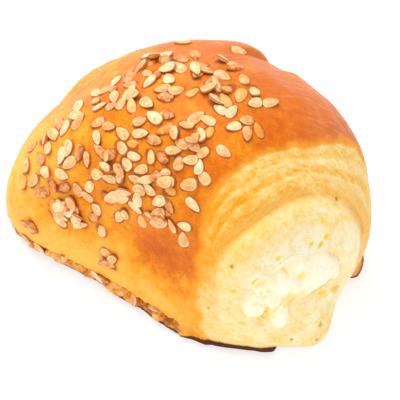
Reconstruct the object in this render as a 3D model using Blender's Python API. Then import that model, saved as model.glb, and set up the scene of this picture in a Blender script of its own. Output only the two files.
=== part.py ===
"""Cheese pastry: a baked bun rolled round a curd cheese core that shows at both ends.

Frame: +X runs along the roll to the torn open end, +Y to the far side, +Z up.
The origin lies in the flat resting face. Lengths are in metres.
"""
import math
import random

import bpy
import numpy as np

MM = 0.001

# Outer form of the bun, measured from the axis origin at table level
HALF_LENGTH_FRONT = 31.6 * MM
HALF_LENGTH_BACK = 42.7 * MM
HALF_WIDTH_FAR = 21.1 * MM
HALF_WIDTH_NEAR = 28.8 * MM
WAIST_HEIGHT = 10.35 * MM
DOME_RISE = 32.5 * MM
BASE_DROP = 20.0 * MM
PLAN_POWER = 3.27
DOME_POWER = 2.0
BASE_POWER = 2.6
HUB_HEIGHT = 17.0 * MM
FLOOR_POWER = 24.0
BASE_TRIM = 0.25 * MM
LONGEST_RAY = 90.0 * MM
HALVINGS = 34
SMALLEST_SLOPE = 1e-6

# Soft swells and hollows: direction from the hub, rise, spread in radians
TOP_SWELL = ((-0.31, 0.77, 0.55), 5.7 * MM, 0.322)
SHOULDER_SWELL = ((0.51, 0.72, 0.39), 6.0 * MM, 0.364)
BACK_HOLLOW = ((-0.91, 0.01, 0.32), -5.8 * MM, 0.395)
CHIN_HOLLOW = ((0.31, -0.90, 0.00), -5.2 * MM, 0.403)
FLANK_HOLLOW = ((-0.45, -0.85, -0.08), -6.4 * MM, 0.435)
FAR_HOLLOW = ((0.58, 0.79, 0.28), -1.8 * MM, 0.218)
LIP_SWELL = ((0.86, -0.28, -0.39), 4.6 * MM, 0.110)
CHEEK_SWELL = ((0.98, 0.08, -0.07), 2.75 * MM, 0.236)
TAIL_SWELL = ((-0.79, -0.60, -0.23), 3.05 * MM, 0.168)
VALLEY_SWELL = ((0.13, 0.42, 0.90), 1.0 * MM, 0.16)
SHOULDER_EASE = ((0.62, 0.62, 0.47), -0.2 * MM, 0.12)
CREST_EASE = ((-0.42, 0.68, 0.60), -0.5 * MM, 0.10)
KNOB_SWELL = ((0.27, 0.73, 0.63), 0.7 * MM, 0.07)
SWELLS = (TOP_SWELL, SHOULDER_SWELL, BACK_HOLLOW, CHIN_HOLLOW, FLANK_HOLLOW, FAR_HOLLOW, LIP_SWELL,
          CHEEK_SWELL, TAIL_SWELL, VALLEY_SWELL, SHOULDER_EASE, CREST_EASE, KNOB_SWELL)

# Roll axis, which is the pole of the layer rings
ROLL_AXIS = (0.904, -0.406, 0.135)

# Ring angles in degrees every 30 degrees round the axis: far side first, then up
CRUST_EDGE = (57, 51.5, 46, 46, 43, 36.5, 35.5, 42, 50, 54, 58, 60)
CREASE = (32, 30, 27, 24.5, 25.5, 28, 29.5, 33, 37, 40, 38, 32.5)
MOUTH = (14, 6, 4, 3.6, 4.2, 7, 13, 23, 21, 13, 17.5, 22.5)
BACK_CRUST_EDGE = 37.0
BACK_CREASE = 27.0
BACK_MOUTH_WIDE = 14.0
BACK_MOUTH_HIGH = 8.0

# Relief of the layers
CRUST_STEP = 0.5 * MM
CRUST_STEP_SPREAD = 2.5
LAYER_HOLLOW = 0.25 * MM
LAYER_HOLLOW_SPREAD = 0.3
CREASE_DEPTH = 0.9 * MM
BACK_CREASE_DEPTH = 0.4 * MM
CREASE_SPREAD = 2.2
CREASE_DEEPEST = 1.75
CREASE_FAINT = 0.1
CREASE_REACH = 0.05
DOME_SWELL = 1.0 * MM
DOME_SWELL_CENTRE = 0.4
DOME_SWELL_POWER = 4
RIM_FALL = 0.8 * MM
RIM_SPREAD = 1.6
RIM_DEEPEST = 4.6
RIM_FAINT = 0.15
RIM_REACH = 0.35
RIM_CHANGE = 0.65
FLAP_SPOKE = 47.0
FLAP_RING = 106.5
FLAP_LENGTH = 10.0
FLAP_STEP = 1.1 * MM
FLAP_FADE = 12.0
FLAP_SHARPNESS = 2.0
FLAP_RIDGE = 0.2 * MM
FLAP_RIDGE_AHEAD = 6.0
FLAP_GROOVE = 0.3 * MM
FLAP_GROOVE_AHEAD = 2.0
FOOT_RISE = 1.15 * MM
FOOT_HEIGHT = 0.9 * MM
FOOT_SPREAD = 1.3 * MM
FOOT_LEVEL = 1.0
FOOT_WAVES = ((9, 0.4, 0.12), (14, 1.9, 0.10), (23, 4.0, 0.08))
FOOT_INNER_RADIUS = 6.0 * MM
FOOT_FULL_RADIUS = 18.0 * MM
LIP_FROM = -32.3
LIP_TO = 11.0
LIP_FADE = 3.0
# Plan angle in degrees, extra push as a share, spread in degrees
FOOT_BUMPS = ((16, 1.2, 6), (-37, 0.30, 5), (-63, 0.2, 5), (-115, -0.45, 6), (-127, 0.3, 4), (-144, 0.6, 5))

# Tunnel that the cheese fills, along the roll axis from the hub
TUNNEL_FRONT = 19.0 * MM
TUNNEL_BACK = -23.0 * MM
TUNNEL_WIDE = 8.5 * MM
TUNNEL_HIGH = 5.0 * MM
TUNNEL_NARROWING = 0.75
CHEESE_GAP = 0.78 * MM
MOUTH_DISTANCE = 26.0 * MM
CURD_BASE = -1.25 * MM
CURD_TUCK = 2.0
# Lumps of curd: side and rise of the middle, half sizes across and along (degrees), height (mm)
CURDS = ((9.5, -6.0, 11.0, 9.5, 2.4), (-5.5, -4.0, 8.0, 7.0, 2.0), (-16.5, -9.5, 6.6, 8.6, 2.0),
         (-6.8, -16.0, 4.6, 8.0, 1.8), (17.0, -11.5, 4.4, 4.4, 1.6))

# Sesame seeds
SEED_LENGTH = 3.3 * MM
SEED_WIDTH = 2.0 * MM
SEED_THICKNESS = 1.2 * MM
SEED_LIFT = 0.25 * MM
SEED_COUNT = 121
SEED_SPACING = 2.1 * MM
SEED_FLOOR = 8.0 * MM
SEED_CRUST_MARGIN = 3.0
SEED_CRUST_FADE = 9.0
SEED_CRUST_SPARSE = 0.25
SEED_FAR_SPOKE = 66.0
SEED_FAR_RING = 95.0
SEED_FAR_SLANT = 0.9
SEED_NEAR_SPOKE = 166.0
SEED_NEAR_WIDER = 24.0
SEED_NEAR_RING = 76.0
SEED_THIN_SPOKE = 146.0
SEED_THIN_SHARE = 0.5
SEED_REAR_LIMIT = 119.0
SEED_FADE = 9.0
SEED_DRAW = 11
SEED_FEEL = 0.02
SEED_LOWEST_COSINE = -1.0
SEED_HIGHEST_COSINE = 0.8
SEED_FIRST_SPOKE = 0.9
SEED_LAST_SPOKE = 3.6
SEED_SIZE_SPREAD = 0.08
# Height of each ring of a seed's section as a share of its half thickness, and its width
SEED_LEVELS = ((-0.62, 0.62), (0.0, 1.0), (0.62, 0.72))
SEED_TAPER = 0.32
SEED_PLUMPNESS = 1.1
SEED_TILT_AXIS = (0.3, 0.5, 0.81)

# Colours (linear) and roughness of the surfaces
CRUST_COLOUR = (0.80, 0.33, 0.07)
CRUST_ROUGHNESS = 0.45
CURD_COLOUR = (0.93, 0.86, 0.62)
CURD_ROUGHNESS = 0.5

# Mesh fineness
SPOKES = 60
BOTTOM_EDGE_ANGLES = (213.0, 325.0)
EDGE_DENSITY = 1.6
EDGE_DENSITY_SPREAD = 14.0
EDGE_SAMPLES = 721
RINGS_MOUTH_TO_CREASE = 6
RINGS_CREASE_TO_CRUST = 4
RINGS_CRUST = 19
RINGS_BACK_LAYER = 3
RINGS_BACK_DOME = 3
RINGS_TUNNEL = 5
RINGS_CAP = 6
SEED_SPOKES = 6


def unit(v):
    """Vectors scaled to length one."""
    v = np.asarray(v, dtype=float)
    return v / np.linalg.norm(v, axis=-1, keepdims=True)


AXIS = unit(ROLL_AXIS)
UPWARD = unit(np.array((0.0, 0.0, 1.0)) - AXIS * AXIS[2])
FARWARD = np.cross(AXIS, UPWARD) * -1.0
HUB = np.array((0.0, 0.0, HUB_HEIGHT))


def smooth_step(x):
    """Ease from 0 to 1."""
    x = np.clip(x, 0.0, 1.0)
    return x * x * (3.0 - 2.0 * x)


def hump(x, spread):
    """Bell curve of height one."""
    return np.exp(-0.5 * (x / spread) ** 2)


def round_curve(samples, v):
    """Smooth closed curve through samples spaced evenly round the axis; v in radians."""
    samples = np.asarray(samples, dtype=float)
    count = len(samples)
    place = np.mod(v / (2.0 * math.pi) * count, count)
    first = np.floor(place).astype(int)
    t = place - first
    p0 = samples[(first - 1) % count]
    p1 = samples[first % count]
    p2 = samples[(first + 1) % count]
    p3 = samples[(first + 2) % count]
    bend = 2.0 * p0 - 5.0 * p1 + 4.0 * p2 - p3
    twist = 3.0 * (p1 - p2) + p3 - p0
    return p1 + 0.5 * t * (p2 - p0 + t * (bend + t * twist))


def direction(u, v):
    """Unit directions at ring angle u and spoke angle v, both in radians."""
    across = np.cos(v)[..., None] * FARWARD + np.sin(v)[..., None] * UPWARD
    return np.cos(u)[..., None] * AXIS + np.sin(u)[..., None] * across


def form_level(p):
    """Below one inside the plain bun form, above one outside."""
    x, y, z = p[..., 0], p[..., 1], p[..., 2] - WAIST_HEIGHT
    half_x = np.where(x > 0.0, HALF_LENGTH_FRONT, HALF_LENGTH_BACK)
    half_y = np.where(y > 0.0, HALF_WIDTH_FAR, HALF_WIDTH_NEAR)
    plan = (np.abs(x) / half_x) ** PLAN_POWER + (np.abs(y) / half_y) ** PLAN_POWER
    plan = plan ** (1.0 / PLAN_POWER)
    above = plan ** DOME_POWER + (np.abs(z) / DOME_RISE) ** DOME_POWER
    below = plan ** BASE_POWER + (np.abs(z) / BASE_DROP) ** BASE_POWER
    return np.where(z > 0.0, above, below)


def form_reach(d):
    """Distance from the hub to the plain form along each direction."""
    near = np.zeros(d.shape[:-1])
    far = np.full(d.shape[:-1], LONGEST_RAY)
    for _ in range(HALVINGS):
        middle = 0.5 * (near + far)
        outside = form_level(HUB + middle[..., None] * d) > 1.0
        far = np.where(outside, middle, far)
        near = np.where(outside, near, middle)
    reach = 0.5 * (near + far)
    for centre, rise, spread in SWELLS:
        turn = 2.0 * (1.0 - d @ unit(centre))
        reach = reach + rise * np.exp(-turn / (2.0 * spread ** 2))
    return reach


def crease_strength(v):
    """Near one along the top of the front end, weak at both sides and underneath."""
    reach = CREASE_REACH + (1.0 - CREASE_REACH) * np.cos(v - CREASE_DEEPEST)
    return CREASE_FAINT + (1.0 - CREASE_FAINT) * smooth_step(reach)


def rim_strength(v):
    """Near one along the lower edge of the front opening, weak along its top."""
    reach = RIM_REACH + RIM_CHANGE * np.cos(v - RIM_DEEPEST)
    return RIM_FAINT + (1.0 - RIM_FAINT) * smooth_step(reach)


def flap_relief(ring, spoke):
    """Step and ridge where the outer sheet of dough ends on the far shoulder; both in degrees."""
    off = ring - FLAP_RING
    step = smooth_step(0.5 + off / FLAP_SHARPNESS) * hump(np.maximum(off, 0.0), FLAP_FADE)
    ridge = FLAP_RIDGE * hump(off + FLAP_RIDGE_AHEAD, FLAP_SHARPNESS)
    groove = FLAP_GROOVE * hump(off + FLAP_GROOVE_AHEAD, FLAP_SHARPNESS)
    return hump(spoke - FLAP_SPOKE, FLAP_LENGTH) * (FLAP_STEP * step + ridge - groove)


def layer_relief(u, v):
    """Rise of the layers, creases, flap and rims; u and v in radians."""
    ring = np.degrees(u)
    crust = round_curve(CRUST_EDGE, v)
    crease = round_curve(CREASE, v)
    mouth = round_curve(MOUTH, v)
    rise = CRUST_STEP * (smooth_step(0.5 + (ring - crust) / CRUST_STEP_SPREAD) - 1.0)
    middle = 0.5 * (crease + crust)
    rise = rise - LAYER_HOLLOW * hump(ring - middle, LAYER_HOLLOW_SPREAD * (crust - crease))
    rise = rise - CREASE_DEPTH * crease_strength(v) * hump(ring - crease, CREASE_SPREAD)
    inner = np.clip((ring - mouth) / (crease - mouth), 0.0, 1.0)
    outward = DOME_SWELL_CENTRE + (1.0 - DOME_SWELL_CENTRE) * inner
    rise = rise + DOME_SWELL * (1.0 - inner ** DOME_SWELL_POWER) * outward
    rise = rise - rim_strength(v) * RIM_FALL * hump(np.maximum(ring - mouth, 0.0), RIM_SPREAD)
    back = 180.0 - ring
    rise = rise - BACK_CREASE_DEPTH * hump(back - BACK_CREASE, CREASE_SPREAD)
    rise = rise - RIM_FALL * hump(np.maximum(back - back_mouth(v), 0.0), RIM_SPREAD)
    return rise + flap_relief(ring, np.degrees(v))


def back_mouth(v):
    """Ring angle of the rear opening from the rear pole, in degrees."""
    wide = np.cos(v) / BACK_MOUTH_WIDE
    high = np.sin(v) / BACK_MOUTH_HIGH
    return 1.0 / np.sqrt(wide ** 2 + high ** 2)


def settle(d, reach):
    """Points along the rays, flattened where they meet the table."""
    down = np.maximum(-d[..., 2], SMALLEST_SLOPE)
    table = HUB_HEIGHT / down
    reach = (reach ** -FLOOR_POWER + table ** -FLOOR_POWER) ** (-1.0 / FLOOR_POWER)
    points = HUB + reach[..., None] * d
    points[..., 2] = np.maximum(points[..., 2] - BASE_TRIM, 0.0)
    return points


def foot_strength(turn):
    """How far the foot stands out at a plan angle in radians; none under the lip."""
    wave = FOOT_LEVEL
    for count, phase, share in FOOT_WAVES:
        wave = wave + share * np.sin(count * turn + phase)
    for place, share, spread in FOOT_BUMPS:
        wave = wave + share * hump(np.degrees(turn) - place, spread)
    after = smooth_step(0.5 + (np.degrees(turn) - LIP_FROM) / LIP_FADE)
    before = smooth_step(0.5 + (LIP_TO - np.degrees(turn)) / LIP_FADE)
    return wave * (1.0 - after * before)


def foot_relief(points):
    """Baked foot along the bottom edge, pushed outward in plan except under the lip."""
    turn = np.arctan2(points[..., 1], points[..., 0])
    radius = np.hypot(points[..., 0], points[..., 1])
    push = FOOT_RISE * foot_strength(turn) * hump(points[..., 2] - FOOT_HEIGHT, FOOT_SPREAD)
    inward = (radius - FOOT_INNER_RADIUS) / (FOOT_FULL_RADIUS - FOOT_INNER_RADIUS)
    push = push * smooth_step(inward)
    stretch = 1.0 + push / np.maximum(radius, MM)
    points[..., 0] = points[..., 0] * stretch
    points[..., 1] = points[..., 1] * stretch
    return points


def skin_points(u, v):
    """Points of the outer skin."""
    d = direction(u, v)
    return foot_relief(settle(d, form_reach(d) + layer_relief(u, v)))


def spoke_angles(count):
    """Angles round the axis, closer together where the spokes cross the bottom edge."""
    fine = np.linspace(0.0, 2.0 * math.pi, EDGE_SAMPLES)
    density = np.ones_like(fine)
    for edge in BOTTOM_EDGE_ANGLES:
        density = density + EDGE_DENSITY * hump(np.degrees(fine) - edge, EDGE_DENSITY_SPREAD)
    share = np.concatenate(((0.0,), np.cumsum(0.5 * (density[1:] + density[:-1]))))
    return np.interp(np.arange(count) / count, share / share[-1], fine)


def skin_rings(v):
    """Ring angles from the front mouth to the rear mouth for every spoke, in radians."""
    mouth = round_curve(MOUTH, v)
    crease = round_curve(CREASE, v)
    crust = round_curve(CRUST_EDGE, v)
    back_edge = np.full_like(v, 180.0 - BACK_CRUST_EDGE)
    back_crease = np.full_like(v, 180.0 - BACK_CREASE)
    rear = 180.0 - back_mouth(v)
    stops = (mouth, crease, crust, back_edge, back_crease, rear)
    counts = (RINGS_MOUTH_TO_CREASE, RINGS_CREASE_TO_CRUST, RINGS_CRUST,
              RINGS_BACK_LAYER, RINGS_BACK_DOME)
    rings = [mouth]
    for start, end, count in zip(stops, stops[1:], counts):
        for step in range(1, count + 1):
            rings.append(start + (end - start) * step / count)
    return np.radians(np.array(rings))


def tunnel_ring(along, v, gap):
    """Oval section of the tunnel at a distance along the axis, made smaller by a gap."""
    share = (along - TUNNEL_BACK) / (TUNNEL_FRONT - TUNNEL_BACK)
    scale = TUNNEL_NARROWING + (1.0 - TUNNEL_NARROWING) * share
    wide = np.cos(v) / (TUNNEL_WIDE * scale)
    high = np.sin(v) / (TUNNEL_HIGH * scale)
    radius = 1.0 / np.sqrt(wide ** 2 + high ** 2) - gap
    across = np.cos(v)[:, None] * FARWARD + np.sin(v)[:, None] * UPWARD
    return HUB + along * AXIS + radius[:, None] * across


def tunnel_rings(front, rear, v, gap, count):
    """Rings from the rear edge through the tunnel to the front edge, without the two edges."""
    stations = np.linspace(TUNNEL_BACK, TUNNEL_FRONT, count)
    inner = [tunnel_ring(along, v, gap) for along in stations]
    rings = [0.5 * (rear + inner[0])]
    rings.extend(inner)
    rings.append(0.5 * (front + inner[-1]))
    return rings


def loft_faces(ring_count, spokes, closed):
    """Triangles between neighbouring rings."""
    faces = []
    last = ring_count if closed else ring_count - 1
    for ring in range(last):
        following = (ring + 1) % ring_count
        for spoke in range(spokes):
            beside = (spoke + 1) % spokes
            a = ring * spokes + spoke
            b = ring * spokes + beside
            c = following * spokes + beside
            d = following * spokes + spoke
            faces.append((a, c, b))
            faces.append((a, d, c))
    return faces


def new_object(name, vertices, faces):
    """Mesh object with smooth shading."""
    mesh = bpy.data.meshes.new(name)
    mesh.from_pydata([tuple(p) for p in vertices], [], faces)
    mesh.polygons.foreach_set("use_smooth", [True] * len(mesh.polygons))
    mesh.update()
    piece = bpy.data.objects.new(name, mesh)
    bpy.context.scene.collection.objects.link(piece)
    return piece


def principled(name, colour, roughness):
    """Plain material."""
    material = bpy.data.materials.new(name)
    material.use_nodes = True
    shader = material.node_tree.nodes["Principled BSDF"]
    shader.inputs["Base Color"].default_value = (*colour, 1.0)
    shader.inputs["Roughness"].default_value = roughness
    return material


def dough_body():
    """Bun skin with a tunnel through it, one closed surface."""
    v = spoke_angles(SPOKES)
    u = skin_rings(v)
    skin = skin_points(u, np.broadcast_to(v, u.shape))
    rings = list(skin)
    rings.extend(tunnel_rings(skin[0], skin[-1], v, 0.0, RINGS_TUNNEL))
    vertices = np.concatenate(rings)
    return new_object("dough", vertices, loft_faces(len(rings), SPOKES, True))


def curd_relief(u, v):
    """Height of the soft lumps of the cheese faces; u and v in radians."""
    side = np.degrees(u) * np.cos(v)
    rise = np.degrees(u) * np.sin(v)
    height = np.zeros(u.shape)
    for middle, level, across, along, top in CURDS:
        far = np.hypot((side - middle) / across, (rise - level) / along)
        height = np.maximum(height, top * MM * (1.0 - far ** 2))
    return height


def cheese_cap(edge, v, front):
    """Rings of a cheese face from just inside the mouth edge to near the pole."""
    rings = []
    for step in range(RINGS_CAP):
        u = edge * (1.0 - step / RINGS_CAP)
        ring_u = u if front else math.pi - u
        d = direction(ring_u, v)
        rise = curd_relief(u, v) * smooth_step(CURD_TUCK * step / RINGS_CAP)
        rings.append(HUB + (form_reach(d) + CURD_BASE + rise)[:, None] * d)
    return rings


def cheese_core():
    """Cheese that runs through the roll and fills both mouths."""
    v = spoke_angles(SPOKES)
    clear = math.degrees(CHEESE_GAP / MOUTH_DISTANCE)
    front_edge = np.radians(round_curve(MOUTH, v) - clear)
    rear_edge = np.radians(back_mouth(v) - clear)
    front = cheese_cap(front_edge, v, True)
    rear = cheese_cap(rear_edge, v, False)
    rings = list(reversed(front))
    middle = tunnel_rings(front[0], rear[0], v, CHEESE_GAP, RINGS_TUNNEL)
    rings.extend(reversed(middle))
    rings.extend(rear)
    vertices = list(np.concatenate(rings))
    faces = loft_faces(len(rings), SPOKES, False)
    first = len(vertices)
    vertices.append(rings[0].mean(axis=0))
    vertices.append(rings[-1].mean(axis=0))
    last_ring = (len(rings) - 1) * SPOKES
    for spoke in range(SPOKES):
        beside = (spoke + 1) % SPOKES
        faces.append((first, spoke, beside))
        faces.append((first + 1, last_ring + beside, last_ring + spoke))
    return new_object("cheese_filling", vertices, faces)


def seed_weight(ring, spoke, crust):
    """Chance that a seed stuck at a place: even on the top, none on the layers; all in degrees."""
    if ring < crust + SEED_CRUST_MARGIN:
        return 0.0
    ahead = smooth_step((ring - crust - SEED_CRUST_MARGIN) / SEED_CRUST_FADE)
    ahead = SEED_CRUST_SPARSE + (1.0 - SEED_CRUST_SPARSE) * ahead
    far_limit = SEED_FAR_SPOKE + SEED_FAR_SLANT * max(ring - SEED_FAR_RING, 0.0)
    far = smooth_step((spoke - far_limit) / SEED_FADE)
    wider = smooth_step((ring - SEED_NEAR_RING) / SEED_FADE)
    near = smooth_step((SEED_NEAR_SPOKE + SEED_NEAR_WIDER * wider - spoke) / SEED_FADE)
    thin = 1.0 - SEED_THIN_SHARE * smooth_step((spoke - SEED_THIN_SPOKE) / SEED_FADE)
    rear = 1.0 - smooth_step((ring - SEED_REAR_LIMIT) / SEED_FADE)
    return float(ahead * far * near * thin * rear)


def seed_places(count):
    """Seeded draw of seed centres, outward directions, turns and sizes."""
    draw = random.Random(SEED_DRAW)
    places = []
    while len(places) < count:
        u = math.acos(draw.uniform(SEED_LOWEST_COSINE, SEED_HIGHEST_COSINE))
        v = draw.uniform(SEED_FIRST_SPOKE, SEED_LAST_SPOKE)
        chance = draw.random()
        turn = draw.uniform(0.0, 2.0 * math.pi)
        size = draw.uniform(1.0 - SEED_SIZE_SPREAD, 1.0 + SEED_SIZE_SPREAD)
        crust = float(round_curve(CRUST_EDGE, np.array(v)))
        if chance > seed_weight(math.degrees(u), math.degrees(v), crust):
            continue
        spot = np.array((u, u + SEED_FEEL, u)), np.array((v, v, v + SEED_FEEL))
        point, ahead, beside = skin_points(*spot)
        if point[2] < SEED_FLOOR:
            continue
        outward = unit(np.cross(ahead - point, beside - point))
        if all(np.linalg.norm(point - other[0]) > SEED_SPACING for other in places):
            places.append((point, outward, turn, size))
    return places


def seed_mesh(place):
    """Flattened teardrop standing partly in the crust."""
    point, outward, turn, size = place
    side = unit(np.cross(outward, SEED_TILT_AXIS))
    ahead = np.cross(outward, side)
    along = math.cos(turn) * side + math.sin(turn) * ahead
    across = np.cross(outward, along)
    middle = point + SEED_LIFT * outward
    half_length = 0.5 * SEED_LENGTH * size
    half_width = 0.5 * SEED_WIDTH * size * SEED_PLUMPNESS
    half_thick = 0.5 * SEED_THICKNESS * size
    vertices = []
    for level, inset in SEED_LEVELS:
        for spoke in range(SEED_SPOKES):
            angle = 2.0 * math.pi * spoke / SEED_SPOKES
            taper = 1.0 - SEED_TAPER * math.cos(angle)
            x = half_length * inset * math.cos(angle)
            y = half_width * inset * taper * math.sin(angle)
            vertices.append(middle + x * along + y * across + level * half_thick * outward)
    faces = []
    for level in range(len(SEED_LEVELS) - 1):
        for spoke in range(SEED_SPOKES):
            beside = (spoke + 1) % SEED_SPOKES
            a = level * SEED_SPOKES + spoke
            b = level * SEED_SPOKES + beside
            faces.append((a, b, b + SEED_SPOKES))
            faces.append((a, b + SEED_SPOKES, a + SEED_SPOKES))
    vertices.append(middle - half_thick * outward)
    vertices.append(middle + half_thick * outward)
    bottom = len(SEED_LEVELS) * SEED_SPOKES
    last = bottom - SEED_SPOKES
    for spoke in range(SEED_SPOKES):
        beside = (spoke + 1) % SEED_SPOKES
        faces.append((bottom, beside, spoke))
        faces.append((bottom + 1, last + spoke, last + beside))
    return vertices, faces


def fuse(piece, toppings):
    """One union of the piece with everything in a list, applied."""
    group = bpy.data.collections.new("toppings")
    bpy.context.scene.collection.children.link(group)
    for topping in toppings:
        bpy.context.scene.collection.objects.unlink(topping)
        group.objects.link(topping)
    join = piece.modifiers.new("toppings", "BOOLEAN")
    join.operation = "UNION"
    join.operand_type = "COLLECTION"
    join.collection = group
    join.solver = "EXACT"
    bpy.context.view_layer.update()
    shape = piece.evaluated_get(bpy.context.evaluated_depsgraph_get())
    joined = bpy.data.meshes.new_from_object(shape)
    piece.modifiers.clear()
    piece.data = joined
    for topping in toppings:
        bpy.data.objects.remove(topping)
    bpy.data.collections.remove(group)


def clear_scene():
    """Empty scene."""
    for piece in list(bpy.data.objects):
        bpy.data.objects.remove(piece)


def main():
    """Build both solids."""
    clear_scene()
    dough = dough_body()
    seeds = []
    for number, place in enumerate(seed_places(SEED_COUNT)):
        vertices, faces = seed_mesh(place)
        seeds.append(new_object("seed_%03d" % number, vertices, faces))
    fuse(dough, seeds)
    dough.data.materials.clear()
    dough.data.materials.append(principled("baked_dough", CRUST_COLOUR, CRUST_ROUGHNESS))
    cheese = cheese_core()
    cheese.data.materials.append(principled("curd_cheese", CURD_COLOUR, CURD_ROUGHNESS))


main()
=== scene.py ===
import math
import random

import bpy
import numpy as np
from mathutils import Matrix, Vector


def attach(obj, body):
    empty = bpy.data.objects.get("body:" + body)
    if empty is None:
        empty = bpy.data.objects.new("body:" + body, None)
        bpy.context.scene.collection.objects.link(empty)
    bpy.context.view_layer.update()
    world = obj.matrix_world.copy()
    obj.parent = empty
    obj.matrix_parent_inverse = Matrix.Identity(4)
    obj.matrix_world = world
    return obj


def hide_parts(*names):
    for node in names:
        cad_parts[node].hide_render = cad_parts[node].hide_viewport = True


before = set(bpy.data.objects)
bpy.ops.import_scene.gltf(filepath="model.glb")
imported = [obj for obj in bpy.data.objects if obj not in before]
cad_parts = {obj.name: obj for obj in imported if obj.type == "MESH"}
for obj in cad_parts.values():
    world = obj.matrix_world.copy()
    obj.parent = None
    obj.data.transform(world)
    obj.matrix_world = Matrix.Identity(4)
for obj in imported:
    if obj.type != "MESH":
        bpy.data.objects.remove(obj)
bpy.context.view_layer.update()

MM = 0.001

# ---------------------------------------------------------------- form, as in the solids
# Outer form of the bun, measured from the axis origin at table level
HALF_LENGTH_FRONT = 31.6 * MM
HALF_LENGTH_BACK = 42.7 * MM
HALF_WIDTH_FAR = 21.1 * MM
HALF_WIDTH_NEAR = 28.8 * MM
WAIST_HEIGHT = 10.35 * MM
DOME_RISE = 32.5 * MM
BASE_DROP = 20.0 * MM
PLAN_POWER = 3.27
DOME_POWER = 2.0
BASE_POWER = 2.6
HUB_HEIGHT = 17.0 * MM
FLOOR_POWER = 24.0
BASE_TRIM = 0.25 * MM
LONGEST_RAY = 90.0 * MM
HALVINGS = 34
SMALLEST_SLOPE = 1e-6

# Soft swells and hollows: direction from the hub, rise, spread in radians
TOP_SWELL = ((-0.31, 0.77, 0.55), 5.7 * MM, 0.322)
SHOULDER_SWELL = ((0.51, 0.72, 0.39), 6.0 * MM, 0.364)
BACK_HOLLOW = ((-0.91, 0.01, 0.32), -5.8 * MM, 0.395)
CHIN_HOLLOW = ((0.31, -0.90, 0.00), -5.2 * MM, 0.403)
FLANK_HOLLOW = ((-0.45, -0.85, -0.08), -6.4 * MM, 0.435)
FAR_HOLLOW = ((0.58, 0.79, 0.28), -1.8 * MM, 0.218)
LIP_SWELL = ((0.86, -0.28, -0.39), 4.6 * MM, 0.110)
CHEEK_SWELL = ((0.98, 0.08, -0.07), 2.75 * MM, 0.236)
TAIL_SWELL = ((-0.79, -0.60, -0.23), 3.05 * MM, 0.168)
VALLEY_SWELL = ((0.13, 0.42, 0.90), 1.0 * MM, 0.16)
SHOULDER_EASE = ((0.62, 0.62, 0.47), -0.2 * MM, 0.12)
CREST_EASE = ((-0.42, 0.68, 0.60), -0.5 * MM, 0.10)
KNOB_SWELL = ((0.27, 0.73, 0.63), 0.7 * MM, 0.07)
SWELLS = (TOP_SWELL, SHOULDER_SWELL, BACK_HOLLOW, CHIN_HOLLOW, FLANK_HOLLOW, FAR_HOLLOW, LIP_SWELL,
          CHEEK_SWELL, TAIL_SWELL, VALLEY_SWELL, SHOULDER_EASE, CREST_EASE, KNOB_SWELL)

# Roll axis, which is the pole of the layer rings
ROLL_AXIS = (0.904, -0.406, 0.135)

# Ring angles in degrees every 30 degrees round the axis: far side first, then up
CRUST_EDGE = (57, 51.5, 46, 46, 43, 36.5, 35.5, 42, 50, 54, 58, 60)
CREASE = (32, 30, 27, 24.5, 25.5, 28, 29.5, 33, 37, 40, 38, 32.5)
MOUTH = (14, 6, 4, 3.6, 4.2, 7, 13, 23, 21, 13, 17.5, 22.5)
BACK_CRUST_EDGE = 37.0
BACK_CREASE = 27.0
REAR_PALE_FROM = 20.0
BACK_MOUTH_WIDE = 14.0
BACK_MOUTH_HIGH = 8.0

# Relief of the layers, the flap and the foot; the deepest places are spoke angles in radians
CRUST_STEP = 0.5 * MM
CRUST_STEP_SPREAD = 2.5
LAYER_HOLLOW = 0.25 * MM
LAYER_HOLLOW_SPREAD = 0.3
CREASE_DEPTH = 0.9 * MM
BACK_CREASE_DEPTH = 0.4 * MM
CREASE_SPREAD = 2.2
CREASE_DEEPEST = 1.75
CREASE_FAINT = 0.1
CREASE_REACH = 0.05
DOME_SWELL = 1.0 * MM
DOME_SWELL_CENTRE = 0.4
DOME_SWELL_POWER = 4
RIM_FALL = 0.8 * MM
RIM_SPREAD = 1.6
RIM_DEEPEST = 4.6
RIM_FAINT = 0.15
RIM_REACH = 0.35
RIM_CHANGE = 0.65
FLAP_SPOKE = 47.0
FLAP_RING = 106.5
FLAP_LENGTH = 10.0
FLAP_STEP = 1.1 * MM
FLAP_FADE = 12.0
FLAP_SHARPNESS = 2.0
FLAP_RIDGE = 0.2 * MM
FLAP_RIDGE_AHEAD = 6.0
FLAP_GROOVE = 0.3 * MM
FLAP_GROOVE_AHEAD = 2.0
FOOT_RISE = 1.15 * MM
FOOT_HEIGHT = 0.9 * MM
FOOT_SPREAD = 1.3 * MM
FOOT_LEVEL = 1.0
FOOT_WAVES = ((9, 0.4, 0.12), (14, 1.9, 0.10), (23, 4.0, 0.08))
FOOT_INNER_RADIUS = 6.0 * MM
FOOT_FULL_RADIUS = 18.0 * MM
LIP_FROM = -32.3
LIP_TO = 11.0
LIP_FADE = 3.0
# Plan angle in degrees, extra push as a share, spread in degrees
FOOT_BUMPS = ((16, 1.2, 6), (-37, 0.30, 5), (-63, 0.2, 5), (-115, -0.45, 6), (-127, 0.3, 4), (-144, 0.6, 5))

# Tunnel that the cheese fills, along the roll axis from the hub
TUNNEL_FRONT = 19.0 * MM
TUNNEL_BACK = -23.0 * MM
TUNNEL_WIDE = 8.5 * MM
TUNNEL_HIGH = 5.0 * MM
TUNNEL_NARROWING = 0.75

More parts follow.
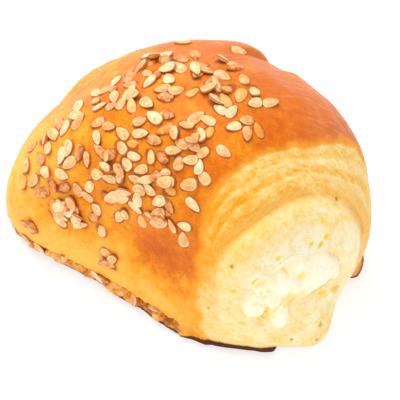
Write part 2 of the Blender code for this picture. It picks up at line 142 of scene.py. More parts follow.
# Sesame seeds; limits of their places in degrees, and of the draw in radians
SEED_LENGTH = 3.3 * MM
SEED_WIDTH = 2.0 * MM
SEED_THICKNESS = 1.0 * MM
SEED_LIFT = 0.15 * MM
SEED_COUNT = 121
SEED_SPACING = 2.1 * MM
SEED_FLOOR = 8.0 * MM
SEED_CRUST_MARGIN = 3.0
SEED_CRUST_FADE = 9.0
SEED_CRUST_SPARSE = 0.25
SEED_FAR_SPOKE = 66.0
SEED_FAR_RING = 95.0
SEED_FAR_SLANT = 0.9
SEED_NEAR_SPOKE = 166.0
SEED_NEAR_WIDER = 24.0
SEED_NEAR_RING = 76.0
SEED_THIN_SPOKE = 146.0
SEED_THIN_SHARE = 0.5
SEED_REAR_LIMIT = 119.0
SEED_FADE = 9.0
SEED_DRAW = 11
SEED_FEEL = 0.02
SEED_TILT_AXIS = (0.3, 0.5, 0.81)
SEED_LOWEST_COSINE = -1.0
SEED_HIGHEST_COSINE = 0.8
SEED_FIRST_SPOKE = 0.9
SEED_LAST_SPOKE = 3.6
SEED_SIZE_SPREAD = 0.08

# ---------------------------------------------------------------- fineness of the shown mesh
SPOKES = 420
# Rings of the dome, the front layers, the crust, the rear layers and the rear dome
RING_COUNTS = (36, 46, 126, 12, 12)
RINGS_TUNNEL = 3

# Noise: start that keeps cell numbers above zero, step between the seeds of its octaves, divisor
GRAIN_START = 1000.0
OCTAVE_SEED_STEP = 17
ROUGH_DIVISOR = 1.5


def unit(v):
    """Vectors scaled to length one."""
    v = np.asarray(v, dtype=float)
    return v / np.linalg.norm(v, axis=-1, keepdims=True)


AXIS = unit(ROLL_AXIS)
UPWARD = unit(np.array((0.0, 0.0, 1.0)) - AXIS * AXIS[2])
FARWARD = np.cross(AXIS, UPWARD) * -1.0
HUB = np.array((0.0, 0.0, HUB_HEIGHT))


def smooth_step(x):
    """Ease from 0 to 1."""
    x = np.clip(x, 0.0, 1.0)
    return x * x * (3.0 - 2.0 * x)


def hump(x, spread):
    """Bell curve of height one."""
    return np.exp(-0.5 * (x / spread) ** 2)


def lattice(cell, seed):
    """Repeatable value from -1 to 1 for each whole-number cell."""
    n = cell[..., 0] * 73856093 ^ cell[..., 1] * 19349663 ^ cell[..., 2] * 83492791
    n = (n + seed * 2654435761) & 0xFFFFFFFF
    n = ((n ^ (n >> 15)) * 2246822519) & 0xFFFFFFFF
    n = ((n ^ (n >> 13)) * 3266489917) & 0xFFFFFFFF
    n = n ^ (n >> 16)
    return (n & 0xFFFFFF) / float(0x7FFFFF) - 1.0


def grain(points, size, seed):
    """Smooth noise from about -1 to 1 with features of the given size."""
    place = np.asarray(points) / size + GRAIN_START
    cell = np.floor(place).astype(np.int64)
    t = place - cell
    t = t * t * t * (t * (t * 6.0 - 15.0) + 10.0)
    total = 0.0
    for corner in range(8):
        step = np.array((corner & 1, corner >> 1 & 1, corner >> 2 & 1))
        share = np.prod(np.where(step == 1, t, 1.0 - t), axis=-1)
        total = total + share * lattice(cell + step, seed)
    return total


def rough(points, size, seed, octaves=3):
    """Several sizes of noise added, each half as big and half as strong."""
    total = 0.0
    weight = 1.0
    for octave in range(octaves):
        turn = points[..., (octave % 3, (octave + 1) % 3, (octave + 2) % 3)] if octave else points
        octave_seed = seed + OCTAVE_SEED_STEP * octave
        total = total + weight * grain(turn, size / 2.0 ** octave, octave_seed)
        weight *= 0.5
    return total / ROUGH_DIVISOR


def round_curve(samples, v):
    """Smooth closed curve through samples spaced evenly round the axis; v in radians."""
    samples = np.asarray(samples, dtype=float)
    count = len(samples)
    place = np.mod(v / (2.0 * math.pi) * count, count)
    first = np.floor(place).astype(int)
    t = place - first
    p0 = samples[(first - 1) % count]
    p1 = samples[first % count]
    p2 = samples[(first + 1) % count]
    p3 = samples[(first + 2) % count]
    bend = 2.0 * p0 - 5.0 * p1 + 4.0 * p2 - p3
    twist = 3.0 * (p1 - p2) + p3 - p0
    return p1 + 0.5 * t * (p2 - p0 + t * (bend + t * twist))


def direction(u, v):
    """Unit directions at ring angle u and spoke angle v, both in radians."""
    across = np.cos(v)[..., None] * FARWARD + np.sin(v)[..., None] * UPWARD
    return np.cos(u)[..., None] * AXIS + np.sin(u)[..., None] * across


def form_level(p):
    """Below one inside the plain bun form, above one outside."""
    x, y, z = p[..., 0], p[..., 1], p[..., 2] - WAIST_HEIGHT
    half_x = np.where(x > 0.0, HALF_LENGTH_FRONT, HALF_LENGTH_BACK)
    half_y = np.where(y > 0.0, HALF_WIDTH_FAR, HALF_WIDTH_NEAR)
    plan = (np.abs(x) / half_x) ** PLAN_POWER + (np.abs(y) / half_y) ** PLAN_POWER
    plan = plan ** (1.0 / PLAN_POWER)
    above = plan ** DOME_POWER + (np.abs(z) / DOME_RISE) ** DOME_POWER
    below = plan ** BASE_POWER + (np.abs(z) / BASE_DROP) ** BASE_POWER
    return np.where(z > 0.0, above, below)


def form_reach(d):
    """Distance from the hub to the plain form along each direction."""
    near = np.zeros(d.shape[:-1])
    far = np.full(d.shape[:-1], LONGEST_RAY)
    for _ in range(HALVINGS):
        middle = 0.5 * (near + far)
        outside = form_level(HUB + middle[..., None] * d) > 1.0
        far = np.where(outside, middle, far)
        near = np.where(outside, near, middle)
    reach = 0.5 * (near + far)
    for centre, rise, spread in SWELLS:
        turn = 2.0 * (1.0 - d @ unit(centre))
        reach = reach + rise * np.exp(-turn / (2.0 * spread ** 2))
    return reach


def crease_strength(v):
    """Near one along the top of the front end, weak at both sides and underneath."""
    reach = CREASE_REACH + (1.0 - CREASE_REACH) * np.cos(v - CREASE_DEEPEST)
    return CREASE_FAINT + (1.0 - CREASE_FAINT) * smooth_step(reach)


def rim_strength(v):
    """Near one along the lower edge of the front opening, weak along its top."""
    reach = RIM_REACH + RIM_CHANGE * np.cos(v - RIM_DEEPEST)
    return RIM_FAINT + (1.0 - RIM_FAINT) * smooth_step(reach)


def flap_relief(ring, spoke):
    """Step and ridge where the outer sheet of dough ends on the far shoulder; both in degrees."""
    off = ring - FLAP_RING
    step = smooth_step(0.5 + off / FLAP_SHARPNESS) * hump(np.maximum(off, 0.0), FLAP_FADE)
    ridge = FLAP_RIDGE * hump(off + FLAP_RIDGE_AHEAD, FLAP_SHARPNESS)
    groove = FLAP_GROOVE * hump(off + FLAP_GROOVE_AHEAD, FLAP_SHARPNESS)
    return hump(spoke - FLAP_SPOKE, FLAP_LENGTH) * (FLAP_STEP * step + ridge - groove)


def layer_relief(u, v):
    """Rise of the layers, creases, flap and rims; u and v in radians."""
    ring = np.degrees(u)
    crust = round_curve(CRUST_EDGE, v)
    crease = round_curve(CREASE, v)
    mouth = round_curve(MOUTH, v)
    rise = CRUST_STEP * (smooth_step(0.5 + (ring - crust) / CRUST_STEP_SPREAD) - 1.0)
    middle = 0.5 * (crease + crust)
    rise = rise - LAYER_HOLLOW * hump(ring - middle, LAYER_HOLLOW_SPREAD * (crust - crease))
    rise = rise - CREASE_DEPTH * crease_strength(v) * hump(ring - crease, CREASE_SPREAD)
    inner = np.clip((ring - mouth) / (crease - mouth), 0.0, 1.0)
    outward = DOME_SWELL_CENTRE + (1.0 - DOME_SWELL_CENTRE) * inner
    rise = rise + DOME_SWELL * (1.0 - inner ** DOME_SWELL_POWER) * outward
    rise = rise - rim_strength(v) * RIM_FALL * hump(np.maximum(ring - mouth, 0.0), RIM_SPREAD)
    back = 180.0 - ring
    rise = rise - BACK_CREASE_DEPTH * hump(back - BACK_CREASE, CREASE_SPREAD)
    rise = rise - RIM_FALL * hump(np.maximum(back - back_mouth(v), 0.0), RIM_SPREAD)
    return rise + flap_relief(ring, np.degrees(v))


def back_mouth(v):
    """Ring angle of the rear opening from the rear pole, in degrees."""
    wide = np.cos(v) / BACK_MOUTH_WIDE
    high = np.sin(v) / BACK_MOUTH_HIGH
    return 1.0 / np.sqrt(wide ** 2 + high ** 2)


def settle(d, reach):
    """Points along the rays, flattened where they meet the table."""
    down = np.maximum(-d[..., 2], SMALLEST_SLOPE)
    table = HUB_HEIGHT / down
    reach = (reach ** -FLOOR_POWER + table ** -FLOOR_POWER) ** (-1.0 / FLOOR_POWER)
    points = HUB + reach[..., None] * d
    points[..., 2] = np.maximum(points[..., 2] - BASE_TRIM, 0.0)
    return points


def plain_points(u, v):
    """Points of the bun without its fine relief."""
    d = direction(u, v)
    return settle(d, form_reach(d) + layer_relief(u, v))


# ---------------------------------------------------------------- fine relief
# Strength, feature size in metres, seed and octaves of each uneven field
DIMPLES = (0.3 * MM, 8.0 * MM, 1, 2)
WRINKLES = (0.08 * MM, 2.2 * MM, 2, 2)
SHEET_WARP = (0.6 * MM, 5.0 * MM, 4, 2)
SHEET_PATCHES = (1.0, 4.0 * MM, 9, 2)
STREAK_WARP = (0.2 * MM, 5.0 * MM, 7, 1)
DOME_CRUMB = (0.16 * MM, 3.2 * MM, 8, 3)
BAND_WARP = (0.07, 6.0 * MM, 61, 2)
BAND_PATCHES = (0.9, 5.0 * MM, 62, 2)
EDGE_DRIFT = (2.5, 5.0 * MM, 31, 3)
SKIRT_LUMPS = (1.0, 2.2 * MM, 21, 2)
FOOT_RAGGED = (0.25, 4.0 * MM, 22, 2)
CURD_GRAIN = (0.32 * MM, 1.7 * MM, 41, 3)
REAR_LUMPS = (0.6 * MM, 3.5 * MM, 44, 2)
# The same, once for the side and once for the rise
GAP_RAGGED = ((0.9, 1.6 * MM, 51, 2), (0.9, 1.6 * MM, 52, 2))
SPECK_RAGGED = ((0.5, 0.9 * MM, 53, 2), (0.5, 0.9 * MM, 54, 2))
CURD_RAGGED = ((0.8, 3.0 * MM, 42, 2), (0.8, 3.0 * MM, 43, 2))

# Where each relief begins and fades, in degrees, and how far it rises
CRUST_FADE = 4.0
LAYER_FADE = 3.0
LAYER_START = 0.4
REAR_FADE = 3.0
REAR_START = 2.0
SHEET_RISE = 0.12 * MM
SHEET_FAINTEST = 0.35
SHEET_PITCH = 1.1 * MM
SHEET_RUN = 4.0 * MM
SHEET_RADIUS = 17.0 * MM
SHEET_SEED = 5
FINE_SHEETS = 0.4
FINE_SHEET_PITCH = 0.45
FINE_SHEET_SEED = 15
SHEET_BANDS_RISE = 0.12 * MM
STREAK_RISE = 0.10 * MM
STREAK_PITCH = 0.7 * MM
STREAK_SEED = 6
STREAK_ACROSS = 0.8
STREAK_ALONG = 0.06
STREAK_SPOKE = 46.0
STREAK_SPREAD = 22.0
STREAK_FROM = 2.0
STREAK_FADE = 6.0
STREAK_TO = 96.0
STREAK_TO_FADE = 8.0
DOME_FADE = 2.0
CRUMB_LEVEL = 0.7
CRUMB_CURDY = 1.8
CURDY_SPREAD = 5.0
HALO_RISE = 0.14 * MM
SPECK_DEPTH = 0.12 * MM
PORE_COUNT = 60
PORE_SEED = 3
PORE_DEPTH = 0.15 * MM
PORE_MARGINS = (1.5, 2.0)
PORE_CROWDING = 1.2
PORE_RADII = (0.12 * MM, 0.32 * MM)
PORE_SURFACE_RADIUS = 30.0 * MM
PORE_REACH = 4.0

# Side and rise of the swirl on the dome, its radius (degrees) and relief
SWIRL_PLACE = (23.0, 0.5)
SWIRL_RADIUS = 6.6
SWIRL_RISE = 0.4 * MM
SWIRL_RIM = 0.28
SWIRL_PIT = 0.3 * MM
SWIRL_PIT_SPREAD = 0.33

# Side and rise of the middle, half sizes across and along, lean (degrees), depth (mm)
GAPS = ((-12.4, -15.8, 1.3, 4.6, -22, 0.8), (-19.4, -18.9, 1.5, 0.7, 0, 0.5),
        (16.8, -19.2, 2.6, 1.4, -35, 0.8), (10.6, -17.4, 2.0, 0.7, -20, 0.4))
GAP_REACH = 1.35
# Side and rise, radius (degrees), how brown from 0 to 1
SPECKS = ((16.4, 4.9, 1.4, 0.1), (13.4, 3.2, 1.6, 0.15), (9.6, 5.4, 1.3, 0.0), (-22.2, 7.0, 1.1, 0.8),
          (28.8, 12.6, 0.9, 0.9), (-5.0, 7.0, 1.2, 0.0), (-14.6, 0.0, 1.8, 0.05), (-22.4, -4.0, 1.3, 0.2),
          (6.2, -24.6, 0.9, 0.5), (3.9, -28.5, 0.8, 0.8), (-3.6, -27.6, 0.7, 1.0), (17.6, 10.6, 1.2, 0.0),
          (-31.5, -18.5, 0.9, 0.6), (10.8, -34.6, 0.8, 0.6), (-0.4, -5.6, 0.9, 0.7), (1.6, 1.4, 0.8, 0.4))
SPECK_REACH = 1.4
SPECK_FLATNESS = 0.7
SPECK_LEAN = 30.0
SPECK_BROWN_LEAN = 40.0
# Share of the way from crease to crust, spread of the band, how orange (below zero: how pale)
BANDS = ((0.12, 0.12, 0.25), (0.33, 0.06, -0.45), (0.40, 0.02, -0.80), (0.50, 0.07, 0.60),
         (0.66, 0.07, -0.50), (0.71, 0.02, -0.60), (0.82, 0.06, 0.20), (0.93, 0.06, -0.25))
BAND_FAINTEST = 0.25
CLEAR_SPOKE = 75.0
CLEAR_REACH = 0.75


def past(x, width):
    """Ease from 0 to 1 as x passes zero, over the given width."""
    return smooth_step(0.5 + x / width)


def raised(x, low):
    """Value from 0 to 1 squeezed to run from low to 1."""
    return low + (1.0 - low) * x


def uneven(place, kind):
    """Noise of a kind given by its strength, feature size, seed and octaves."""
    strength, size, seed, octaves = kind
    return strength * rough(place, size, seed, octaves)


def ring_edges(v):
    """Ring angles of the mouth, the crease and the edge of the crust, in degrees; v in radians."""
    return round_curve(MOUTH, v), round_curve(CREASE, v), round_curve(CRUST_EDGE, v)


def spoke_turn(v, spoke):
    """Degrees between v, in radians, and a spoke angle in degrees, either way round."""
    return np.degrees(np.arccos(np.clip(np.cos(v - math.radians(spoke)), -1.0, 1.0)))


def front_place(u, v):
    """Degrees toward the far side and upward from the front pole."""
    ring = np.degrees(u)
    return ring * np.cos(v), ring * np.sin(v)


def ragged_place(u, v, place, kinds):
    """Front place with noise of two kinds added, so that outlines drawn there are ragged."""
    side, rise = front_place(u, v)
    return side + uneven(place, kinds[0]), rise + uneven(place, kinds[1])


def oval(side, rise, middle, half_sizes, lean):
    """Distance from an oval's middle, one at its edge; lean in degrees."""
    x = side - middle[0]
    y = rise - middle[1]
    c = math.cos(math.radians(lean))
    s = math.sin(math.radians(lean))
    return np.hypot((x * c + y * s) / half_sizes[0], (y * c - x * s) / half_sizes[1])


def gap_depth(u, v, place):
    """Depth in metres of the ragged gaps round the cheese, and how strong each gap is."""
    side, rise = ragged_place(u, v, place, GAP_RAGGED)
    depth = np.zeros(u.shape)
    strength = np.zeros(u.shape)
    for x, y, across, along, lean, deep in GAPS:
        inside = smooth_step(GAP_REACH - oval(side, rise, (x, y), (across, along), lean))
        depth = np.maximum(depth, deep * MM * inside)
        strength = np.maximum(strength, inside)
    return depth, strength


def speck_marks(u, v, place):
    """Strength and brownness of the small specks on the front end."""
    side, rise = ragged_place(u, v, place, SPECK_RAGGED)
    strength = np.zeros(u.shape)
    brown = np.zeros(u.shape)
    for x, y, radius, tone in SPECKS:
        lean = SPECK_LEAN + SPECK_BROWN_LEAN * tone
        far = oval(side, rise, (x, y), (radius, SPECK_FLATNESS * radius), lean)
        mark = smooth_step(SPECK_REACH - far)
        strength = np.maximum(strength, mark)
        brown = np.where(mark > 0.0, tone, brown)
    return strength, brown


def sheet_place(ring, v, reach, place):
    """Position on the surface, squeezed along the layers and warped a little."""
    across = np.radians(ring) * reach + uneven(place, SHEET_WARP)
    squeezed = SHEET_RADIUS * SHEET_PITCH / SHEET_RUN
    return np.stack((across, squeezed * np.cos(v), squeezed * np.sin(v)), -1)


def layer_clearness(v):
    """Near one along the top of the front end, where the layers lie in clear bands; v in radians."""
    return smooth_step(np.cos(v - math.radians(CLEAR_SPOKE)) / CLEAR_REACH)


def layer_bands(ring, v, place):
    """How orange each spot of the torn layers is, from about -1 (pale) to 1."""
    _, crease, crust = ring_edges(v)
    share = (ring - crease) / (crust - crease) + uneven(place, BAND_WARP)
    total = sum(tone * hump(share - middle, width) for middle, width, tone in BANDS)
    patches = raised(smooth_step(0.5 + uneven(place, BAND_PATCHES)), BAND_FAINTEST)
    return total * patches * layer_clearness(v)


def sheet_relief(ring, v, place, reach):
    """Torn sheets of the layers at both ends."""
    _, crease, crust = ring_edges(v)
    layered = smooth_step((ring - crease) / LAYER_FADE + LAYER_START)
    layered = layered * (1.0 - smooth_step((ring - crust) / CRUST_FADE))
    back = 180.0 - ring
    rear = past(REAR_PALE_FROM - back, REAR_FADE) * smooth_step((back - back_mouth(v)) / REAR_START)
    layered = np.maximum(layered, rear)
    patches = raised(smooth_step(0.5 + uneven(place, SHEET_PATCHES)), SHEET_FAINTEST)
    flow = sheet_place(ring, v, reach, place)
    fine = grain(flow, FINE_SHEET_PITCH * SHEET_PITCH, FINE_SHEET_SEED)
    sheets = (1.0 - FINE_SHEETS) * grain(flow, SHEET_PITCH, SHEET_SEED) + FINE_SHEETS * fine
    return layered * (SHEET_RISE * patches * sheets - SHEET_BANDS_RISE * layer_bands(ring, v, place))


def streak_relief(u, v, place, reach):
    """Fine streaks on the far shoulder of the crust, drawn out along the roll."""
    ring = np.degrees(u)
    ahead = smooth_step((ring - round_curve(CRUST_EDGE, v) - STREAK_FROM) / STREAK_FADE)
    behind = 1.0 - smooth_step((ring - STREAK_TO) / STREAK_TO_FADE)
    shoulder = hump(np.degrees(v) - STREAK_SPOKE, STREAK_SPREAD) * ahead * behind
    across = np.stack((v * reach * STREAK_ACROSS, u * reach * STREAK_ALONG, np.zeros(u.shape)), -1)
    across = across + uneven(place, STREAK_WARP)[..., None]
    return shoulder * STREAK_RISE * grain(across, STREAK_PITCH, STREAK_SEED)


def swirl_distance(u, v):
    """Distance from the middle of the swirl on the dome, one at its edge."""
    side, rise = front_place(u, v)
    return oval(side, rise, SWIRL_PLACE, (SWIRL_RADIUS, SWIRL_RADIUS), 0.0)


def dome_rough(curdy, place):
    """Uneven crumb of the dome, rougher where it is curdy."""
    return (CRUMB_LEVEL + CRUMB_CURDY * curdy) * uneven(place, DOME_CRUMB)


def fine_relief(u, v, d, reach):
    """Dimples, torn sheets, shoulder streaks, swirl and crumb of the dome."""
    ring = np.degrees(u)
    place = HUB + reach[..., None] * d
    mouth, crease, crust = ring_edges(v)
    rise = past(ring - crust, CRUST_FADE) * (uneven(place, DIMPLES) + uneven(place, WRINKLES))
    rise = rise + sheet_relief(ring, v, place, reach) + streak_relief(u, v, place, reach)
    inner = 1.0 - past(ring - crease, DOME_FADE)
    rise = rise + inner * dome_rough(hump(np.maximum(ring - mouth, 0.0), CURDY_SPREAD), place)
    swirl = swirl_distance(u, v)
    return rise + SWIRL_RISE * hump(swirl - 1.0, SWIRL_RIM) - SWIRL_PIT * hump(swirl, SWIRL_PIT_SPREAD)


def pore_pits(d, u, v):
    """Small pits scattered over the pale dough of the front end."""
    draw = random.Random(PORE_SEED)
    pits = np.zeros(u.shape)
    for _ in range(PORE_COUNT):
        pit_v = draw.uniform(0.0, 2.0 * math.pi)
        low = float(round_curve(MOUTH, np.array(pit_v))) + PORE_MARGINS[0]
        high = float(round_curve(CRUST_EDGE, np.array(pit_v))) - PORE_MARGINS[1]
        pit_u = math.radians(low + (high - low) * draw.random() ** PORE_CROWDING)
        radius = draw.uniform(*PORE_RADII) / PORE_SURFACE_RADIUS
        near = np.abs(u - pit_u) < PORE_REACH * radius
        turn = 2.0 * (1.0 - d[near] @ direction(np.array(pit_u), np.array(pit_v)))
        pits[near] = np.maximum(pits[near], np.exp(-turn / (2.0 * radius ** 2)))
    return pits


# Rolled skirt between two plan angles in degrees, and the dark foot under it
SKIRT_FROM = -172.0
SKIRT_TO = -66.0
SKIRT_FADE = 14.0
SKIRT_TOP = 4.2 * MM
SKIRT_UNEVEN = 0.22
SKIRT_SOFTNESS = 0.9 * MM
LUMP_STRETCH = (1.0, 1.0, 0.8)
LUMP_RISE = 1.1 * MM
LUMP_FLOOR = 0.5 * MM
LUMP_START = 0.8 * MM
LUMP_LEVEL = 0.4
LUMP_CONTRAST = 1.4
LUMP_SINK = 0.5
EDGE_RISE = 0.3 * MM
EDGE_ABOVE = 0.3 * MM
EDGE_SPREAD = 0.5 * MM
EDGE_GROOVE = 0.6 * MM
GROOVE_BELOW = 0.7 * MM
GROOVE_SPREAD = 0.45 * MM
IN_PLAN = (1.0, 1.0, 0.0)
FOOT_SHARPNESS = 0.8 * MM
FOOT_THICKNESS = 1.3 * MM
FOOT_FAINT = 4.0
LEDGE_RISE = 0.6 * MM
LEDGE_SHARPNESS = 0.25 * MM
CHEEK_TURN = 16.0
CHEEK_SPAN = 10.0
CHEEK_THINNER = 0.7
CHEEK_BROWN_TOP = 3.0 * MM
CHEEK_BROWN_UNEVEN = 0.8 * MM
CHEEK_BROWN_SOFTNESS = 2.0 * MM


def foot_strength(turn):
    """How far the foot stands out at a plan angle in radians; none under the lip."""
    wave = FOOT_LEVEL
    for count, phase, share in FOOT_WAVES:
        wave = wave + share * np.sin(count * turn + phase)
    for place, share, spread in FOOT_BUMPS:
        wave = wave + share * hump(np.degrees(turn) - place, spread)
    after = past(np.degrees(turn) - LIP_FROM, LIP_FADE)
    before = past(LIP_TO - np.degrees(turn), LIP_FADE)
    return wave * (1.0 - after * before)


def skirt_share(turn):
    """Near one along the near side, where the underside crust rolls up; plan angle in radians."""
    degrees = np.degrees(turn)
    return past(degrees - SKIRT_FROM, SKIRT_FADE) * past(SKIRT_TO - degrees, SKIRT_FADE)


def skirt_roll(height, lumps, skirt):
    """Share of the rolled skirt at each point, and how far its lumps and edge push outward."""
    top = SKIRT_TOP * (1.0 + SKIRT_UNEVEN * lumps)
    under = past(top - height, SKIRT_SOFTNESS) * skirt
    above = smooth_step((height - LUMP_FLOOR) / LUMP_START)
    push = under * above * LUMP_RISE * (smooth_step(LUMP_LEVEL + LUMP_CONTRAST * lumps) - LUMP_SINK)
    push = push + skirt * EDGE_RISE * hump(height - top - EDGE_ABOVE, EDGE_SPREAD)
    return under, push - skirt * EDGE_GROOVE * hump(height - top + GROOVE_BELOW, GROOVE_SPREAD)


def foot_relief(points):
    """Push the foot and the rolled skirt over it outward in plan; points and marks for the colours."""
    turn = np.arctan2(points[..., 1], points[..., 0])
    radius = np.hypot(points[..., 0], points[..., 1])
    height = points[..., 2]
    strength = foot_strength(turn)
    skirt = skirt_share(turn)
    lumps = uneven(points * LUMP_STRETCH, SKIRT_LUMPS)
    top = FOOT_THICKNESS * (1.0 + uneven(points * IN_PLAN, FOOT_RAGGED))
    cheek = hump(np.degrees(turn) - CHEEK_TURN, CHEEK_SPAN)
    ledge = top + LEDGE_RISE * (1.0 - skirt) * (1.0 - CHEEK_THINNER * cheek)
    foot = (ledge - height) / LEDGE_SHARPNESS - FOOT_FAINT * (1.0 - np.clip(2.0 * strength, 0.0, 1.0))
    push = FOOT_RISE * strength * hump(np.maximum(height - FOOT_HEIGHT, 0.0), FOOT_SPREAD)
    push = push * raised(1.0 - smooth_step((height - top) / FOOT_SHARPNESS), skirt)
    under, roll = skirt_roll(height, lumps, skirt)
    burnt_top = CHEEK_BROWN_TOP + CHEEK_BROWN_UNEVEN * lumps
    browned = np.maximum(under, cheek * past(burnt_top - height, CHEEK_BROWN_SOFTNESS))
    inward = (radius - FOOT_INNER_RADIUS) / (FOOT_FULL_RADIUS - FOOT_INNER_RADIUS)
    stretch = 1.0 + (push + roll) * smooth_step(inward) / np.maximum(radius, MM)
    points = points * np.stack((stretch, stretch, np.ones(stretch.shape)), -1)
    # The cheek mark also makes the skirt lumps paler there: painted light where that side faces the side
    # lamp
    return points, {"foot": foot, "skirt": browned, "lumps": lumps, "cheek": cheek}


def skin_rings(v):
    """Ring angles from the front mouth to the rear mouth for every spoke, in radians."""
    mouth, crease, crust = ring_edges(v)
    back_edge = np.full_like(v, 180.0 - BACK_CRUST_EDGE)
    back_crease = np.full_like(v, 180.0 - BACK_CREASE)
    stops = (mouth, crease, crust, back_edge, back_crease, 180.0 - back_mouth(v))
    rings = [mouth]
    for start, end, count in zip(stops, stops[1:], RING_COUNTS):
        rings.extend(start + (end - start) * step / count for step in range(1, count + 1))
    return np.radians(np.array(rings))


def tunnel_ring(along, v):
    """Oval section of the tunnel at a distance along the axis."""
    share = (along - TUNNEL_BACK) / (TUNNEL_FRONT - TUNNEL_BACK)
    scale = TUNNEL_NARROWING + (1.0 - TUNNEL_NARROWING) * share
    wide = np.cos(v) / (TUNNEL_WIDE * scale)
    high = np.sin(v) / (TUNNEL_HIGH * scale)
    radius = 1.0 / np.sqrt(wide ** 2 + high ** 2)
    across = np.cos(v)[:, None] * FARWARD + np.sin(v)[:, None] * UPWARD
    return HUB + along * AXIS + radius[:, None] * across


# ---------------------------------------------------------------- meshes
def loft_faces(ring_count, spokes, closed):
    """Quads between neighbouring rings, as rows of four vertex numbers."""
    last = ring_count if closed else ring_count - 1
    ring = np.arange(last)[:, None]
    spoke = np.arange(spokes)[None, :]
    beside = (spoke + 1) % spokes
    following = (ring + 1) % ring_count
    a = ring * spokes + spoke
    b = ring * spokes + beside
    c = following * spokes + beside
    d = following * spokes + spoke
    return np.stack((a, d, c, b), -1).reshape(-1, 4)


def end_fans(ring_count, spokes):
    """Triangles from the two vertices after the rings to the first and the last ring."""
    tip = ring_count * spokes
    last = tip - spokes
    triangles = []
    for spoke in range(spokes):
        beside = (spoke + 1) % spokes
        triangles.append((tip, spoke, beside))
        triangles.append((tip + 1, last + beside, last + spoke))
    return triangles


def new_mesh(name, vertices, quads, triangles=()):
    """Smooth mesh object from arrays."""
    mesh = bpy.data.meshes.new(name)
    faces = [tuple(q) for q in np.asarray(quads).tolist()]
    faces.extend(tuple(t) for t in triangles)
    mesh.from_pydata(np.asarray(vertices).tolist(), [], faces)
    mesh.polygons.foreach_set("use_smooth", [True] * len(mesh.polygons))
    mesh.update()
    piece = bpy.data.objects.new(name, mesh)
    bpy.context.scene.collection.objects.link(piece)
    return piece


def paint(piece, name, values, kind="FLOAT", field="value"):
    """Number or vector at each vertex for the material to read."""
    layer = piece.data.attributes.new(name, kind, "POINT")
    layer.data.foreach_set(field, np.asarray(values, dtype=np.float32).ravel())


# ---------------------------------------------------------------- sesame seeds
def seed_weight(u, v):
    """Chance that a seed stuck at a place: even on the top, none on the layers; both in radians."""
    ring = math.degrees(u)
    spoke = math.degrees(v)
    crust = float(round_curve(CRUST_EDGE, np.array(v)))
    if ring < crust + SEED_CRUST_MARGIN:
        return 0.0
    ahead = raised(smooth_step((ring - crust - SEED_CRUST_MARGIN) / SEED_CRUST_FADE), SEED_CRUST_SPARSE)
    far_limit = SEED_FAR_SPOKE + SEED_FAR_SLANT * max(ring - SEED_FAR_RING, 0.0)
    far = smooth_step((spoke - far_limit) / SEED_FADE)
    wider = smooth_step((ring - SEED_NEAR_RING) / SEED_FADE)
    near = smooth_step((SEED_NEAR_SPOKE + SEED_NEAR_WIDER * wider - spoke) / SEED_FADE)
    thin = 1.0 - SEED_THIN_SHARE * smooth_step((spoke - SEED_THIN_SPOKE) / SEED_FADE)
    rear = 1.0 - smooth_step((ring - SEED_REAR_LIMIT) / SEED_FADE)
    return float(ahead * far * near * thin * rear)


def drawn_angles(draw):
    """Ring and spoke angle of a random place on the crust, in radians."""
    u = math.acos(draw.uniform(SEED_LOWEST_COSINE, SEED_HIGHEST_COSINE))
    return u, draw.uniform(SEED_FIRST_SPOKE, SEED_LAST_SPOKE)


def seed_spot(u, v):
    """Point on the crust and the direction straight out from it."""
    spot = np.array((u, u + SEED_FEEL, u)), np.array((v, v, v + SEED_FEEL))
    point, ahead, beside = plain_points(*spot)
    return point, unit(np.cross(ahead - point, beside - point))


def clear_of(point, seeds, spacing):
    """Whether a point keeps its distance from every seed."""
    return all(np.linalg.norm(point - other[0]) > spacing for other in seeds)


def seed_places(count):
    """Seeded draw of seed centres, outward directions, turns and sizes."""
    draw = random.Random(SEED_DRAW)
    places = []
    while len(places) < count:
        u, v = drawn_angles(draw)
        chance = draw.random()
        turn = draw.uniform(0.0, 2.0 * math.pi)
        size = draw.uniform(1.0 - SEED_SIZE_SPREAD, 1.0 + SEED_SIZE_SPREAD)
        if chance > seed_weight(u, v):
            continue
        point, outward = seed_spot(u, v)
        if point[2] >= SEED_FLOOR and clear_of(point, places, SEED_SPACING):
            places.append((point, outward, turn, size))
    return places


def seed_axes(outward, turn):
    """Directions along and across a seed lying on the crust."""
    side = unit(np.cross(outward, SEED_TILT_AXIS))
    ahead = np.cross(outward, side)
    along = math.cos(turn) * side + math.sin(turn) * ahead
    return along, np.cross(outward, along)


# Seeds beyond those of the solids
MORE_SEEDS = 30
MORE_TRIES = 4000
MORE_DRAW = 16
MORE_SPACING = 1.5 * MM
MORE_SIZES = (0.9, 1.08)
# Ring and spoke angles (degrees), radius (mm) and number of extra seeds
CLUMPS = ((102, 175, 2.4, 6), (107, 176, 2.0, 5), (64, 130, 2.0, 3), (57, 152, 1.7, 4),
          (90, 141, 2.4, 3), (65, 110, 2.0, 2), (94, 86, 2.2, 2), (74, 88, 1.8, 2),
          (88, 196, 1.6, 3), (112, 190, 1.5, 2), (121, 78, 0.0, 1), (105.6, 59, 0.0, 1))
CLUMP_SURFACE_RADIUS = 27.0 * MM
CLUMP_SPREAD = 0.5
SEED_STACK = 0.55 * MM
STACK_REACH = 2.3 * MM
STACK_MOST = 2
STACK_SHARES = (0.5, 1.0)
# Ring angles of seeds baked into the skirt over the foot
SKIRT_SEEDS = (116, 113, 106, 94, 91, 76, 66)
SKIRT_SPOKE = 195.0
SKIRT_STEP = 0.02
SKIRT_HEIGHT = 3.4 * MM
SKIRT_HEIGHT_SHARES = (0.7, 1.4)
SKIRT_LAST_TURN = 6.2
SKIRT_SIZES = (0.85, 1.0)
SKIRT_LIFT = 0.1 * MM


